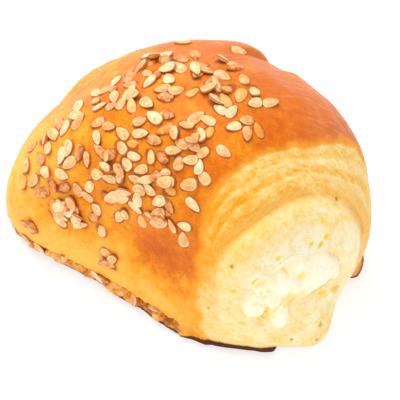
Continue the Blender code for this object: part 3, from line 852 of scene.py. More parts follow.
def settled_seed(u, v, seeds, draw):
    """One more seed, lifted where it comes to lie on others."""
    point, outward = seed_spot(u, v)
    below = sum(np.linalg.norm(point - other[0]) < STACK_REACH for other in seeds)
    lift = SEED_STACK * min(below, STACK_MOST) * draw.uniform(*STACK_SHARES)
    turn = draw.uniform(0.0, 2.0 * math.pi)
    return point, outward, turn, draw.uniform(*MORE_SIZES), lift


def skirt_seed(ring, draw):
    """Seed baked into the skirt over the foot."""
    u = math.radians(ring)
    v = math.radians(SKIRT_SPOKE)
    while seed_spot(u, v)[0][2] > SKIRT_HEIGHT * draw.uniform(*SKIRT_HEIGHT_SHARES):
        v += SKIRT_STEP
    point, outward = seed_spot(u, v)
    return point, outward, draw.uniform(0.0, SKIRT_LAST_TURN), draw.uniform(*SKIRT_SIZES), SKIRT_LIFT


def more_seeds(places):
    """The first seeds, then those against and on top of them, in clumps and in the skirt."""
    draw = random.Random(MORE_DRAW)
    seeds = [place + (0.0,) for place in places]
    tries = 0
    while len(seeds) < SEED_COUNT + MORE_SEEDS and tries < MORE_TRIES:
        tries += 1
        u, v = drawn_angles(draw)
        if draw.random() > seed_weight(u, v):
            continue
        if clear_of(seed_spot(u, v)[0], seeds, MORE_SPACING):
            seeds.append(settled_seed(u, v, seeds, draw))
    for ring, spoke, radius, count in CLUMPS:
        spread = radius * MM / CLUMP_SURFACE_RADIUS
        for _ in range(count):
            u = math.radians(ring) + draw.gauss(0.0, CLUMP_SPREAD) * spread
            v = math.radians(spoke) + draw.gauss(0.0, CLUMP_SPREAD) * spread
            seeds.append(settled_seed(u, v, seeds, draw))
    for ring in SKIRT_SEEDS:
        seeds.append(skirt_seed(ring, draw))
    return seeds


# Shape of a seed of unit length, and how each one lies
SEED_RINGS = 13
SEED_SPOKES = 20
SEED_TAPER = 0.42
SEED_TAPER_POWER = 1.5
SEED_BLUNTNESS = 0.66
SEED_POINT = 0.50
SEED_FULLNESS = 0.58
SEED_DENT = 0.08
SEED_DENT_SPREAD = 0.10
SEED_LINE = 0.68
LAY_DRAW = 12
LEAN_ALONE = 0.16
LEAN_STACKED = 0.45
LEAN_SIDEWAYS = 0.8
LENGTH_SHARES = (0.94, 1.14)
WIDTH_SHARES = (0.92, 1.20)
THICKNESS_SHARES = (0.85, 1.2)
LIFT_MORE = 0.10 * MM
SINK_DEPTH = 0.3 * MM
SINK_POWER = 4


def seed_shape():
    """Teardrop of unit length: points, faces, and distance of each point from the middle line."""
    stations = np.linspace(0.0, 1.0, SEED_RINGS + 2)[1:-1]
    angles = np.arange(SEED_SPOKES) * 2.0 * math.pi / SEED_SPOKES
    side = np.cos(angles)
    rings = []
    margins = []
    for s in stations:
        x = 0.5 * math.cos(math.pi * s)
        power = SEED_BLUNTNESS + SEED_POINT * (0.5 + x)
        half = SEED_FULLNESS * math.sin(math.pi * s) ** power
        half = half * (1.0 - SEED_TAPER * (0.5 + x) ** SEED_TAPER_POWER)
        margin = np.sqrt(np.minimum((2.0 * x) ** 2 + side ** 2 * (1.0 - (2.0 * x) ** 2), 1.0))
        dent = SEED_DENT * hump(margin - SEED_LINE, SEED_DENT_SPREAD)
        z = half * np.sin(angles) - dent * np.sign(np.sin(angles)) * half
        rings.append(np.stack((np.full_like(side, x), half * side, z), -1))
        margins.append(margin)
    points = np.concatenate(rings + [np.array(((0.5, 0.0, 0.0), (-0.5, 0.0, 0.0)))])
    margin = np.concatenate(margins + [np.array((1.0, 1.0))])
    return points, loft_faces(SEED_RINGS, SEED_SPOKES, False), end_fans(SEED_RINGS, SEED_SPOKES), margin


def laid_seed(shape, seed, draw):
    """Points of one seed on the crust, its shade, and how deep it lies in the glaze."""
    point, outward, turn, size, stack = seed
    along, across = seed_axes(outward, turn)
    lean = LEAN_ALONE if stack == 0.0 else LEAN_STACKED
    tilt = outward + draw.gauss(0.0, lean) * along + draw.gauss(0.0, LEAN_SIDEWAYS * lean) * across
    tilt = unit(tilt)
    across = unit(np.cross(tilt, along))
    along = np.cross(across, tilt)
    length = SEED_LENGTH * size * draw.uniform(*LENGTH_SHARES)
    width = SEED_WIDTH * size * draw.uniform(*WIDTH_SHARES)
    thick = SEED_THICKNESS * size * draw.uniform(*THICKNESS_SHARES)
    sink = draw.random()
    lift = SEED_LIFT + stack + LIFT_MORE - SINK_DEPTH * sink ** SINK_POWER
    local = shape * np.array((length, width, thick))
    placed = point + lift * outward + local @ np.array((along, across, tilt))
    return placed, draw.random(), sink if stack == 0.0 else 0.0


def sesame_seeds(seeds):
    """All the seeds as one mesh with a shade, a margin and a glaze value at each point."""
    shape, quads, triangles, margin = seed_shape()
    draw = random.Random(LAY_DRAW)
    laid = [laid_seed(shape, seed, draw) for seed in seeds]
    size = len(shape)
    bases = range(0, size * len(laid), size)
    all_quads = np.concatenate([quads + base for base in bases])
    all_triangles = [(a + base, b + base, c + base) for base in bases for a, b, c in triangles]
    points = np.concatenate([placed for placed, _, _ in laid])
    piece = new_mesh("sesame_seeds", points, all_quads, all_triangles)
    paint(piece, "shade", np.repeat([shade for _, shade, _ in laid], size))
    paint(piece, "margin", np.tile(margin, len(laid)))
    paint(piece, "glaze", np.repeat([glaze for _, _, glaze in laid], size))
    return piece


# Crust round the seeds: distances are shares of half a seed
HALO_REACH = 4.0 * MM
HALO_WIDE = 0.5
HALO_WIDE_FROM = 0.85
HALO_WIDE_FADE = 0.5
HALO_CLOSE_FROM = 1.06
HALO_CLOSE_FADE = 0.03


def seed_halo(points, seeds):
    """How close each surface point is to the outline of the nearest seed."""
    flat = points.reshape(-1, 3)
    halo = np.zeros(len(flat))
    for point, outward, turn, size, _ in seeds:
        apart = flat - point
        near = np.flatnonzero((apart ** 2).sum(-1) < HALO_REACH ** 2)
        if not len(near):
            continue
        along, across = seed_axes(outward, turn)
        x = apart[near] @ along / (0.5 * SEED_LENGTH * size)
        y = apart[near] @ across / (0.5 * SEED_WIDTH * size)
        far = np.hypot(x, y)
        wide = np.exp(-np.maximum(far - HALO_WIDE_FROM, 0.0) ** 2 / HALO_WIDE_FADE)
        close = np.exp(-np.maximum(far - HALO_CLOSE_FROM, 0.0) ** 2 / HALO_CLOSE_FADE)
        halo[near] = np.maximum(halo[near], HALO_WIDE * wide + (1.0 - HALO_WIDE) * close)
    return halo.reshape(points.shape[:-1])


# ---------------------------------------------------------------- dough
# Direction from the hub, amount, spread (radians): where the crust baked darker or stayed pale
BAKE_LEVEL = 0.5
BAKE_SPOTS = (((0.30, -0.92, 0.18), 0.40, 0.40), ((0.24, -0.97, -0.02), 0.30, 0.20),
              ((0.62, 0.26, 0.74), 0.65, 0.42), ((-0.36, 0.42, 0.83), 0.20, 0.45),
              ((-0.82, -0.56, -0.08), -0.90, 0.32), ((-0.40, -0.80, -0.44), -1.00, 0.25),
              ((0.25, -0.90, -0.34), -1.00, 0.22), ((-0.95, -0.20, 0.22), 0.10, 0.25),
              ((-0.72, 0.10, 0.68), 0.10, 0.25), ((0.16, -0.98, -0.15), 0.25, 0.15),
              ((-0.63, -0.76, -0.12), 0.35, 0.20))
# Where the crust blushes pinkish on the shoulders, partly painted sheen; direction, amount, spread as above
BLUSH_AND_SHEEN_SPOTS = (((0.50, 0.62, 0.60), 1.0, 0.22), ((0.74, 0.40, 0.54), 0.7, 0.18),
               ((-0.36, 0.60, 0.75), 0.7, 0.35), ((0.19, 0.70, 0.70), 0.6, 0.35))
SCORCH_SPOTS = (((0.36, -0.76, -0.54), 1.0, 0.30), ((0.70, -0.50, -0.52), 0.9, 0.25),
                ((0.90, 0.15, -0.43), 0.9, 0.25), ((0.10, -0.84, -0.54), 0.6, 0.30))
# Softness of the edge of the crust in degrees; spoke angle, spread and change where it differs
PALE_FADE = 9.0
PALE_FADE_CHANGES = ((60.0, 30.0, -4.0), (205.0, 25.0, 4.0))
PALE_DRIFT = 0.7
WARM_REACH = 2.0
WARM_FADE = 7.0
REAR_PALE_DRIFT = 0.5
REAR_PALE_FADE = 8.0
REAR_DOME = 3.0
REAR_DOME_FADE = 2.0
INSIDE_FADE = 6.0
INSIDE_CRISPER = 4.4
INSIDE_AHEAD = 1.2
FOLD_AHEAD = 0.5
FOLD_WIDTH = 1.5
REAR_FOLD_WIDTH = 1.2
SEAM_BEHIND = 1.2
SEAM_WIDTH = 1.0
CHEEK_SPOKE = 345.0
CHEEK_LENGTH = 30.0
CHEEK_WIDTH = 8.0
CHEEK_FADES = (5.0, 2.0)
CHEEK_TONE = 0.8
# How orange the layers are every 30 degrees round the axis
BAND_TONE = (0.0, 0.05, 0.15, 0.25, 0.80, 0.90, 0.80, 0.0, -0.2, -0.15, -0.1, 0.0)
STREAKY_LEAST = 0.25
CURDY_FROM = 1.5
CURDY_WIDTH = 7.0
CURDY_LESS_AT_RIM = 0.6
SWIRL_LINE = 0.13
SWIRL_OPEN_SLOPE = 0.8
SWIRL_OPEN_RISE = -18.0
SWIRL_OPEN_FADE = 30.0
# Painted light and shade on the dome: how much paler it is toward one spoke angle, in radians, and yellower
# away from it
DOME_LIGHT_AND_SHADE = 0.25
DOME_LIGHT_FADE = 8.0
DOME_LIGHT_SPOKE = -0.3
# Marks that are one in the tunnel, where the rest are zero
TUNNEL_MARKS = ("pale", "warm", "inside")


def spots(d, places):
    """Sum of soft spots over the surface."""
    total = np.zeros(d.shape[:-1])
    for centre, amount, spread in places:
        total = total + amount * np.exp(-(1.0 - d @ unit(centre)) / spread ** 2)
    return total


def end_marks(ring, v, points):
    """Where the skin is pale, warm golden, or the soft dough inside the crease."""
    _, crease, crust = ring_edges(v)
    drift = uneven(points, EDGE_DRIFT)
    back = 180.0 - ring
    fade = PALE_FADE
    for spoke, spread, change in PALE_FADE_CHANGES:
        fade = fade + change * hump(np.degrees(v) - spoke, spread)
    front = 1.0 - past(ring - crust + PALE_DRIFT * drift, fade)
    rear = 1.0 - past(back - REAR_PALE_FROM + REAR_PALE_DRIFT * drift, REAR_PALE_FADE)
    crisp = crease_crispness(v)
    off_crease = ring - crease + INSIDE_AHEAD * crisp + (INSIDE_AHEAD - crisp) * drift
    inside = 1.0 - past(off_crease, INSIDE_FADE - INSIDE_CRISPER * crisp)
    rear_inside = 1.0 - past(back - back_mouth(v) - REAR_DOME, REAR_DOME_FADE)
    return {"pale": np.maximum(front, rear), "inside": np.maximum(inside, rear_inside),
            "warm": 1.0 - past(ring - crust - WARM_REACH + drift, WARM_FADE)}


def crease_crispness(v):
    """One where the crease is a sharp line, zero where it is lost; v in radians."""
    return smooth_step(2.0 * crease_strength(v) - 1.0)


def fold_marks(ring, v):
    """Where orange folds and seams show."""
    crease = round_curve(CREASE, v)
    fold = hump(ring - crease - FOLD_AHEAD, FOLD_WIDTH) * crease_crispness(v)
    sheet = past(ring - crease, CHEEK_FADES[0]) * (1.0 - past(ring - crease - CHEEK_WIDTH, CHEEK_FADES[1]))
    fold = np.maximum(fold, CHEEK_TONE * hump(spoke_turn(v, CHEEK_SPOKE), CHEEK_LENGTH) * sheet)
    rear = hump(180.0 - ring - back_mouth(v) - REAR_DOME, REAR_FOLD_WIDTH)
    seam = hump(ring - FLAP_RING + SEAM_BEHIND, SEAM_WIDTH)
    return {"fold": np.maximum(fold, rear),
            "seam": seam * hump(np.degrees(v) - FLAP_SPOKE, FLAP_LENGTH)}


def layer_marks(u, v, points):
    """Bands of the torn layers, curdy dough, the swirl and the painted light and shade of the dome."""
    ring = np.degrees(u)
    mouth = round_curve(MOUTH, v)
    curdy = hump(np.maximum(ring - mouth - CURDY_FROM, 0.0), CURDY_WIDTH)
    side, rise = front_place(u, v)
    opened = past(rise - SWIRL_OPEN_SLOPE * side - SWIRL_OPEN_RISE, SWIRL_OPEN_FADE)
    # Painted light and shade: the dome paler toward the far side, yellower toward the near side
    tone = DOME_LIGHT_AND_SHADE * np.cos(v - DOME_LIGHT_SPOKE) * smooth_step((ring - mouth) / DOME_LIGHT_FADE)
    return {"bands": layer_bands(ring, v, points) + round_curve(BAND_TONE, v),
            "streaky": raised(layer_clearness(v), STREAKY_LEAST),
            "curdy": curdy * (1.0 - CURDY_LESS_AT_RIM * rim_strength(v)),
            "swirl": hump(swirl_distance(u, v) - 1.0, SWIRL_LINE) * opened, "dome_light_and_shade": tone}


def detailed_reach(u, v, d, seeds):
    """Distance from the hub to the skin with all its relief but the foot, and marks of the smallest."""
    reach = form_reach(d) + layer_relief(u, v)
    plain = HUB + reach[..., None] * d
    pits = pore_pits(d, u, v)
    gap, gap_strength = gap_depth(u, v, plain)
    speck, speck_brown = speck_marks(u, v, plain)
    halo = seed_halo(plain, seeds)
    reach = reach + fine_relief(u, v, d, reach) - PORE_DEPTH * pits - gap + HALO_RISE * halo
    return reach - SPECK_DEPTH * speck, {"halo": halo, "pit": pits, "gap": gap_strength,
                                         "speck_mark": speck, "speck_brown": speck_brown}


def baked_marks(d):
    """Where the crust baked darker, blushed pinkish partly as painted sheen, or scorched."""
    return {"bake": BAKE_LEVEL + spots(d, BAKE_SPOTS), "blush_and_sheen": spots(d, BLUSH_AND_SHEEN_SPOTS),
            "scorch": spots(d, SCORCH_SPOTS)}


def paint_skin(piece, marks, flow):
    """Marks and flow on the skin, with plain values on the tunnel's rings after it."""
    hidden = RINGS_TUNNEL * SPOKES
    for name, values in marks.items():
        filler = 1.0 if name in TUNNEL_MARKS else 0.0
        paint(piece, name, np.concatenate((values.ravel(), np.full(hidden, filler))))
    flow = np.concatenate((flow.ravel(), np.zeros(3 * hidden)))
    paint(piece, "flow", flow, "FLOAT_VECTOR", "vector")


def dough_skin(seeds):
    """Bun with its layers, folds and foot at full detail."""
    v = np.arange(SPOKES) * (2.0 * math.pi / SPOKES)
    u = skin_rings(v)
    wide_v = np.broadcast_to(v, u.shape)
    ring = np.degrees(u)
    d = direction(u, wide_v)
    reach, small_marks = detailed_reach(u, wide_v, d, seeds)
    points, marks = foot_relief(settle(d, reach))
    for more in (end_marks(ring, wide_v, points), fold_marks(ring, wide_v),
                 layer_marks(u, wide_v, points), small_marks, baked_marks(d)):
        marks.update(more)
    tunnel = [tunnel_ring(along, v) for along in np.linspace(TUNNEL_BACK, TUNNEL_FRONT, RINGS_TUNNEL)]
    faces = loft_faces(len(u) + RINGS_TUNNEL, SPOKES, True)
    piece = new_mesh("bun_crust", np.concatenate([points.reshape(-1, 3)] + tunnel), faces)
    paint_skin(piece, marks, sheet_place(ring, wide_v, reach, points))
    return piece


# ---------------------------------------------------------------- cheese
# Faces of the cheese and how they meet the dough
CAP_RINGS = 64
CAP_NEAREST = 0.98
CAP_CROWDING = 1.15
CORE_SHARE = 0.92
CURD_BASE = -1.25 * MM
CURD_SOFTNESS = 0.15 * MM
CURD_DEEPEST = -2.0 * MM
CURD_TOP = 1.2 * MM
CHEESE_LAP = 1.3
CHEESE_BLEND = 6.5
CHEESE_SHARP = 5.3
CHEESE_LEVEL_AT_RIM = 0.5
CHEESE_OVER = 0.05 * MM
CHEESE_UNDER = 0.5 * MM
CHEESE_SINK = 0.03
REAR_BLEND = 1.2
REAR_SINK = 0.4 * MM
# Side and rise of the middle, half sizes (degrees), lean (degrees), height (mm)
CURDS = ((9.5, -6.0, 11.0, 9.5, 0, 2.4), (-5.5, -4.0, 8.0, 7.0, 0, 2.0),
         (-16.5, -9.5, 6.6, 8.6, 0, 2.0), (-6.8, -19.0, 4.8, 11.5, -2, 1.5),
         (17.0, -11.5, 4.4, 4.4, 0, 1.7), (-13.5, -2.5, 6.0, 4.6, 20, 1.6),
         (2.0, 0.5, 6.0, 4.4, 10, 1.7), (13.5, -1.0, 5.0, 5.0, -20, 1.8),
         (-9.0, -10.5, 5.0, 4.2, 0, 1.5), (-19.5, -14.5, 4.2, 4.2, 0, 1.4),
         (0.5, -8.0, 4.0, 4.0, 0, 1.6), (4.5, -11.0, 5.0, 4.0, 0, 1.6))
# The lobe where the cheese hangs over the lip: spoke angle, spread and reach in degrees
LOBE_SPOKE = 250.5
LOBE_SPREAD = 14.0
LOBE_REACH = 32.5
LOBE_SOFT_SIDE = 8.0
LOBE_BLEND = 5.0


def curd_relief(u, v, place):
    """Height of the soft lumps over the plain form."""
    side, rise = ragged_place(u, v, place, CURD_RAGGED)
    total = np.zeros(u.shape)
    for x, y, across, along, lean, height in CURDS:
        far = oval(side, rise, (x, y), (across, along), lean)
        lump = height * MM * (1.0 - far ** 2)
        total = total + np.exp(np.maximum(lump, CURD_DEEPEST) / CURD_SOFTNESS)
    return CURD_BASE + CURD_SOFTNESS * np.log(total + 1.0)


def cheese_edge(v):
    """Ring angle where the cheese goes under or over the dough, in degrees."""
    mouth = round_curve(MOUTH, v) + CHEESE_LAP
    lobe = hump(spoke_turn(v, LOBE_SPOKE), LOBE_SPREAD)
    return mouth + np.maximum(LOBE_REACH - mouth, 0.0) * lobe


def curd_face(u, v, place, front):
    """Lumps of a cheese face, depth and strength of its gaps, and over how many degrees it begins."""
    rise = curd_relief(u, v, place) + uneven(place, CURD_GRAIN)
    if not front:
        no_gap = np.zeros(u.shape)
        return rise - REAR_SINK + uneven(place, REAR_LUMPS), no_gap, no_gap, REAR_BLEND
    gap, gap_strength = gap_depth(u, v, place)
    lobe = hump(spoke_turn(v, LOBE_SPOKE + LOBE_SOFT_SIDE), LOBE_SPREAD)
    return rise, gap, gap_strength, CHEESE_BLEND - CHEESE_SHARP * rim_strength(v) + LOBE_BLEND * lobe


def cheese_cap(edge, v, front):
    """Rings of a cheese face from its edge, in degrees, to near the pole, and marks for the colours."""
    share = 1.0 - np.linspace(0.0, CAP_NEAREST, CAP_RINGS)[:, None] ** CAP_CROWDING
    edge = np.radians(edge)
    u = edge[None, :] * share
    wide_v = np.broadcast_to(v, u.shape)
    ring_u = u if front else math.pi - u
    d = direction(ring_u, wide_v)
    reach = form_reach(d)
    place = HUB + reach[..., None] * d
    rise, gap, gap_strength, blend = curd_face(u, wide_v, place, front)
    plain = layer_relief(ring_u, wide_v)
    inward = np.degrees(edge) * (1.0 - share) - CHEESE_LAP
    level = (1.0 - CHEESE_LEVEL_AT_RIM * rim_strength(wide_v)) * (1.0 - smooth_step(inward / blend))
    beside = plain + dome_rough(1.0, place) + CHEESE_OVER
    rise = rise + (beside - rise) * level
    sink = hump(share - 1.0, CHEESE_SINK)
    rise = (rise - gap) * (1.0 - sink) + (plain - CHEESE_UNDER) * sink
    marks = {"gap": gap_strength, "level": level, "high": rise / CURD_TOP}
    return HUB + (reach + rise)[..., None] * d, marks


def cheese_core():
    """Cheese that runs through the roll, lumpy where it shows."""
    v = np.arange(SPOKES) * (2.0 * math.pi / SPOKES)
    front, front_marks = cheese_cap(cheese_edge(v), v, True)
    rear, rear_marks = cheese_cap(back_mouth(v) + CHEESE_LAP, v, False)
    rings = list(front[::-1])
    for along in np.linspace(TUNNEL_FRONT, TUNNEL_BACK, RINGS_TUNNEL):
        centre = HUB + along * AXIS
        rings.append(centre + CORE_SHARE * (tunnel_ring(along, v) - centre))
    rings.extend(list(rear))
    vertices = np.concatenate(rings + [rings[0].mean(axis=0)[None], rings[-1].mean(axis=0)[None]])
    quads = loft_faces(len(rings), SPOKES, False)
    piece = new_mesh("cheese_curds", vertices, quads, end_fans(len(rings), SPOKES))
    hidden = np.zeros(RINGS_TUNNEL * SPOKES)
    for name, values in front_marks.items():
        rows = (values[::-1].ravel(), hidden, rear_marks[name].ravel(), np.zeros(2))
        paint(piece, name, np.concatenate(rows))
    return piece


# ---------------------------------------------------------------- materials
def linear(red, green, blue):
    """Linear colour from 0 to 255 screen values."""
    def curve(c):
        c = c / 255.0
        return c / 12.92 if c <= 0.04045 else ((c + 0.055) / 1.055) ** 2.4
    return (curve(red), curve(green), curve(blue), 1.0)


MIX_COLOUR_A = 6
MIX_COLOUR_B = 7
MIX_COLOUR_RESULT = 2


class Nodes:
    """Short calls to build a material's node tree."""

    def __init__(self, name, textures):
        self.material = bpy.data.materials.new(name)
        self.material.use_nodes = True
        self.tree = self.material.node_tree
        self.known = {}
        for texture, settings in textures.items():
            self.known[texture] = self.texture(*settings)

    def feed(self, node, inputs):
        """Link outputs, or values by their names, to a node's sockets, or set their constants."""
        for name, value in inputs.items():
            if isinstance(value, str):
                value = self.value(value)
            if isinstance(value, bpy.types.NodeSocket):
                self.tree.links.new(value, node.inputs[name])
            else:
                node.inputs[name].default_value = value

    def node(self, kind, inputs, **settings):
        """New node with its inputs fed and its other settings made."""
        node = self.tree.nodes.new("ShaderNode" + kind)
        for name, value in settings.items():
            setattr(node, name, value)
        self.feed(node, inputs)
        return node

    def math(self, operation, a, b=0.0, clamp=False):
        """Number from one or two numbers."""
        return self.node("Math", {0: a, 1: b}, operation=operation, use_clamp=clamp).outputs[0]

    def times(self, a, b, clamp=False):
        """Product of two numbers, held from 0 to 1 where clamped."""
        return self.math("MULTIPLY", a, b, clamp)

    def texture(self, size, detail=3.0, roughness=0.55, distortion=0.0, along=None):
        """Noise round zero, of a real size in metres, in space or along a painted vector."""
        if along:
            place = self.node("Attribute", {}, attribute_name=along).outputs["Vector"]
        else:
            place = self.node("TexCoord", {}).outputs["Object"]
        noise = self.node("TexNoise", {"Vector": place, "Scale": 1.0 / size, "Detail": detail,
                                       "Roughness": roughness, "Distortion": distortion})
        return self.times(self.math("SUBTRACT", noise.outputs["Fac"], 0.5), 2.0)

    def value(self, name):
        """Texture or total kept under a name, or else a number painted on the mesh."""
        if name in self.known:
            return self.known[name]
        return self.node("Attribute", {}, attribute_name=name).outputs["Fac"]

    def total(self, weights):
        """Sum of named values, each times its weight; the number under "plus" is added as it is."""
        result = weights.get("plus", 0.0)
        for name, weight in weights.items():
            if name != "plus":
                result = self.math("ADD", result, self.times(name, weight))
        return result

    def scaled(self, name, weights):
        """Named value times a weighted total, held from 0 to 1."""
        return self.times(name, self.total(weights), clamp=True)

    def ramp(self, value, stops):
        """Colour ramp through (value, colour) stops."""
        low = stops[0][0]
        high = stops[-1][0]
        share = self.math("DIVIDE", self.math("SUBTRACT", value, low), high - low)
        node = self.node("ValToRGB", {"Fac": share})
        band = node.color_ramp
        band.elements[0].color = stops[0][1]
        band.elements[1].color = stops[-1][1]
        for place, colour in stops[1:-1]:
            band.elements.new((place - low) / (high - low)).color = colour
        return node.outputs["Color"]

    def range(self, value, low, high, start=0.0, end=1.0):
        """Value rescaled smoothly and held between limits."""
        limits = {"Value": value, "From Min": low, "From Max": high, "To Min": start, "To Max": end}
        return self.node("MapRange", limits, interpolation_type="SMOOTHSTEP").outputs["Result"]

    def mix(self, share, a, b):
        """Blend of two colours."""
        node = self.node("Mix", {}, data_type="RGBA")
        self.feed(node, {"Factor": share, MIX_COLOUR_A: a, MIX_COLOUR_B: b})
        return node.outputs[MIX_COLOUR_RESULT]

    def bump(self, weights, depth, strength):
        """Normal from a weighted total; depth is the real height in metres of one unit."""
        inputs = {"Height": self.total(weights), "Distance": depth, "Strength": strength}
        return self.node("Bump", inputs).outputs["Normal"]

    def surface(self, inputs):
        """Material with these links and constants on the shader's own sockets."""
        self.feed(self.tree.nodes["Principled BSDF"], inputs)
        return self.material


CRUST_PALE = linear(250, 190, 80)
CRUST_GOLD = linear(245, 162, 34)
CRUST_EDGE_GOLD = linear(246, 166, 46)
CRUST_DEEP = linear(228, 119, 10)
CRUST_BROWN = linear(204, 94, 16)
# Pinkish blush, partly painted sheen, and the pale streaks of painted sheen over it
CRUST_BLUSH_AND_SHEEN = linear(216, 126, 80)
CRUST_SHEEN_STREAK = linear(248, 172, 116)
# Darker orange glaze round the seeds, partly painted shade, and painted contact shade at the seeds' edges
HALO_GLAZE_AND_SHADE = linear(222, 122, 32)
SEED_CONTACT_SHADE = linear(150, 72, 26)
LAYER_ORANGE = linear(244, 160, 20)
LAYER_GOLD = linear(248, 190, 82)
LAYER_CREAM = linear(250, 214, 136)
LAYER_WHITE = linear(251, 228, 178)
DOUGH_CREAM = linear(250, 222, 144)
DOUGH_YELLOW = linear(247, 204, 104)
DOUGH_WHITE = linear(252, 239, 206)
FOLD_ORANGE = linear(238, 158, 16)
FOLD_TAN = linear(247, 188, 88)
GAP_YELLOW = linear(255, 222, 40)
GAP_BROWN = linear(250, 190, 40)
SPECK_YELLOW = linear(248, 218, 40)
SPECK_BROWN = linear(176, 118, 48)
# Skirt lumps: pale on their raised tops as a painted highlight, brown between them partly as painted shade
LUMP_GOLD = linear(234, 148, 50)
LUMP_PALE_HIGHLIGHT = linear(246, 196, 130)
LUMP_BROWN_AND_SHADE = linear(150, 78, 30)
FOOT_BROWN = linear(150, 84, 46)
FOOT_DARK = linear(96, 48, 26)
CURD_WHITE = linear(251, 243, 218)
CURD_CREAM = linear(252, 239, 206)

# Feature size in metres, detail, roughness, distortion and painted vector of each texture
CRUST_TEXTURES = {"broad": (11.0 * MM,), "patch": (3.5 * MM, 5.0, 0.6), "mottle": (1.3 * MM,),
                  "speck": (0.5 * MM,), "streaks": (0.6 * MM, 3.0, 0.55, 0.0, "flow"),
                  "wisps": (0.6 * MM, 4.0, 0.6, 0.3, "flow"), "sheets": (2.4 * MM, 3.0, 0.5, 0.2, "flow")}
CURD_TEXTURES = {"patch": (3.0 * MM, 4.0), "mottle": (1.0 * MM,), "grainy": (0.4 * MM,)}
SEED_TEXTURES = {"fine": (0.5 * MM,), "blotch": (1.1 * MM,)}

# Weights of the textures and painted values in each pattern, and the colours it runs through;
# a range is eased from its first number to its second, and gives 0 to 1 or its last two numbers;
# a bump gives its depth in metres and its strength
BAKE_PATTERN = {"bake": 1.0, "broad": 0.9, "patch": 0.6, "mottle": 0.4, "speck": 0.35}
BAKE_COLOURS = ((-0.35, CRUST_PALE), (0.25, CRUST_GOLD), (0.80, CRUST_DEEP), (1.35, CRUST_BROWN))
# Blush, partly painted sheen, and the painted sheen streaks laid over it
BLUSH_AND_SHEEN_PATTERN = {"streaks": 1.2, "patch": 0.4, "plus": 0.6}
SHEEN_RANGE = (0.1, 0.35)
SHEEN_SHARE = 0.3
# Darker glaze round the seeds, partly painted shade, then the painted contact shade right at their edges
HALO_PATTERN = {"mottle": 1.0, "plus": 0.75}
SEED_CONTACT_SHADE_RANGE = (0.65, 1.0, 0.0, 0.7)
SEAM_SHARE = 0.7
FIBRE_PATTERN = {"wisps": 0.9, "sheets": 0.5}
TORN_PATTERN = {"bands": -0.65, "fibres": 0.85, "patch": 0.5, "mottle": 0.45, "speck": 0.45}
TORN_COLOURS = ((-0.75, LAYER_ORANGE), (-0.3, LAYER_GOLD), (0.15, LAYER_CREAM), (0.6, LAYER_WHITE))
CRUMB_PATTERN = {"dome_light_and_shade": 1.0, "patch": 0.8, "mottle": 0.45, "speck": 0.45, "wisps": 0.45}
CRUMB_COLOURS = ((-0.45, DOUGH_YELLOW), (0.05, DOUGH_CREAM), (0.55, DOUGH_WHITE))
FOLD_PATTERN = {"wisps": 0.9, "patch": 0.4, "plus": 0.85}
FOLD_COLOUR_RANGE = (0.0, 0.1)
CURDY_PATTERN = {"patch": 0.9, "mottle": 0.5, "plus": 0.9}
CURDY_WHITE_RANGE = (0.6, 0.95, 0.0, 0.8)
SWIRL_SHARE = 0.55
PIT_SHARE = 0.12
GAP_RANGE = (-0.15, 0.15)
GAP_SHARE = 0.9
CHEESE_GAP_SHARE = 0.8
EDGE_PATTERN = {"pale": 1.0, "torn": 0.12, "patch": 0.25}
EDGE_RANGE = (0.35, 0.8)
WARM_PATTERN = {"warm": 1.0, "patch": 0.5, "mottle": 0.3}
WARM_RANGE = (0.2, 0.9, 0.0, 0.9)
# Lump colour follows their relief: paler where raised (painted highlight), browner between (partly painted
# shade); the cheek weight paints light on the foot's right cheek, which faces the side lamp
LUMP_PATTERN = {"lumps": 0.7, "patch": 0.6, "mottle": 0.8, "speck": 0.5, "cheek": 0.45}
LUMP_COLOURS = ((-0.35, LUMP_BROWN_AND_SHADE), (0.05, LUMP_GOLD), (0.55, LUMP_PALE_HIGHLIGHT))
LUMP_SHARE = 0.9
SCORCH_PATTERN = {"scorch": 0.6, "patch": 0.8, "mottle": 0.6, "speck": 0.4}
SCORCH_COLOURS = ((-0.5, LUMP_BROWN_AND_SHADE), (0.1, FOOT_BROWN), (0.6, FOOT_DARK))
FOOT_RANGE = (-0.5, 0.5)
CRUST_ROUGHNESS = (0.2, 0.8, 0.4, 0.6)
CRUST_SURFACE = {"Specular IOR Level": 0.12, "Subsurface Weight": 0.1,
                 "Subsurface Radius": (1.0, 0.4, 0.1), "Subsurface Scale": 1.2 * MM}
CRUST_BUMP_PATTERN = {"speck": 0.5, "mottle": 0.5, "pale_wisps": 1.2}
CRUST_BUMP = (0.2 * MM, 0.7)
# Curd colour follows its height: whiter on the lumps, creamier down in the creases, partly painted shade
CURD_PATTERN = {"high": 0.5, "patch": 1.0, "mottle": 0.7, "grainy": 0.4}
CURD_COLOURS = ((-0.4, DOUGH_CREAM), (0.0, CURD_CREAM), (0.4, CURD_WHITE))
CURD_SURFACE = {"Roughness": 0.5, "Specular IOR Level": 0.35, "Subsurface Weight": 0.2,
                "Subsurface Radius": (1.0, 0.8, 0.5), "Subsurface Scale": 1.5 * MM}
CURD_BUMP_PATTERN = {"grainy": 0.6, "mottle": 0.6}
CURD_BUMP = (0.15 * MM, 0.5)


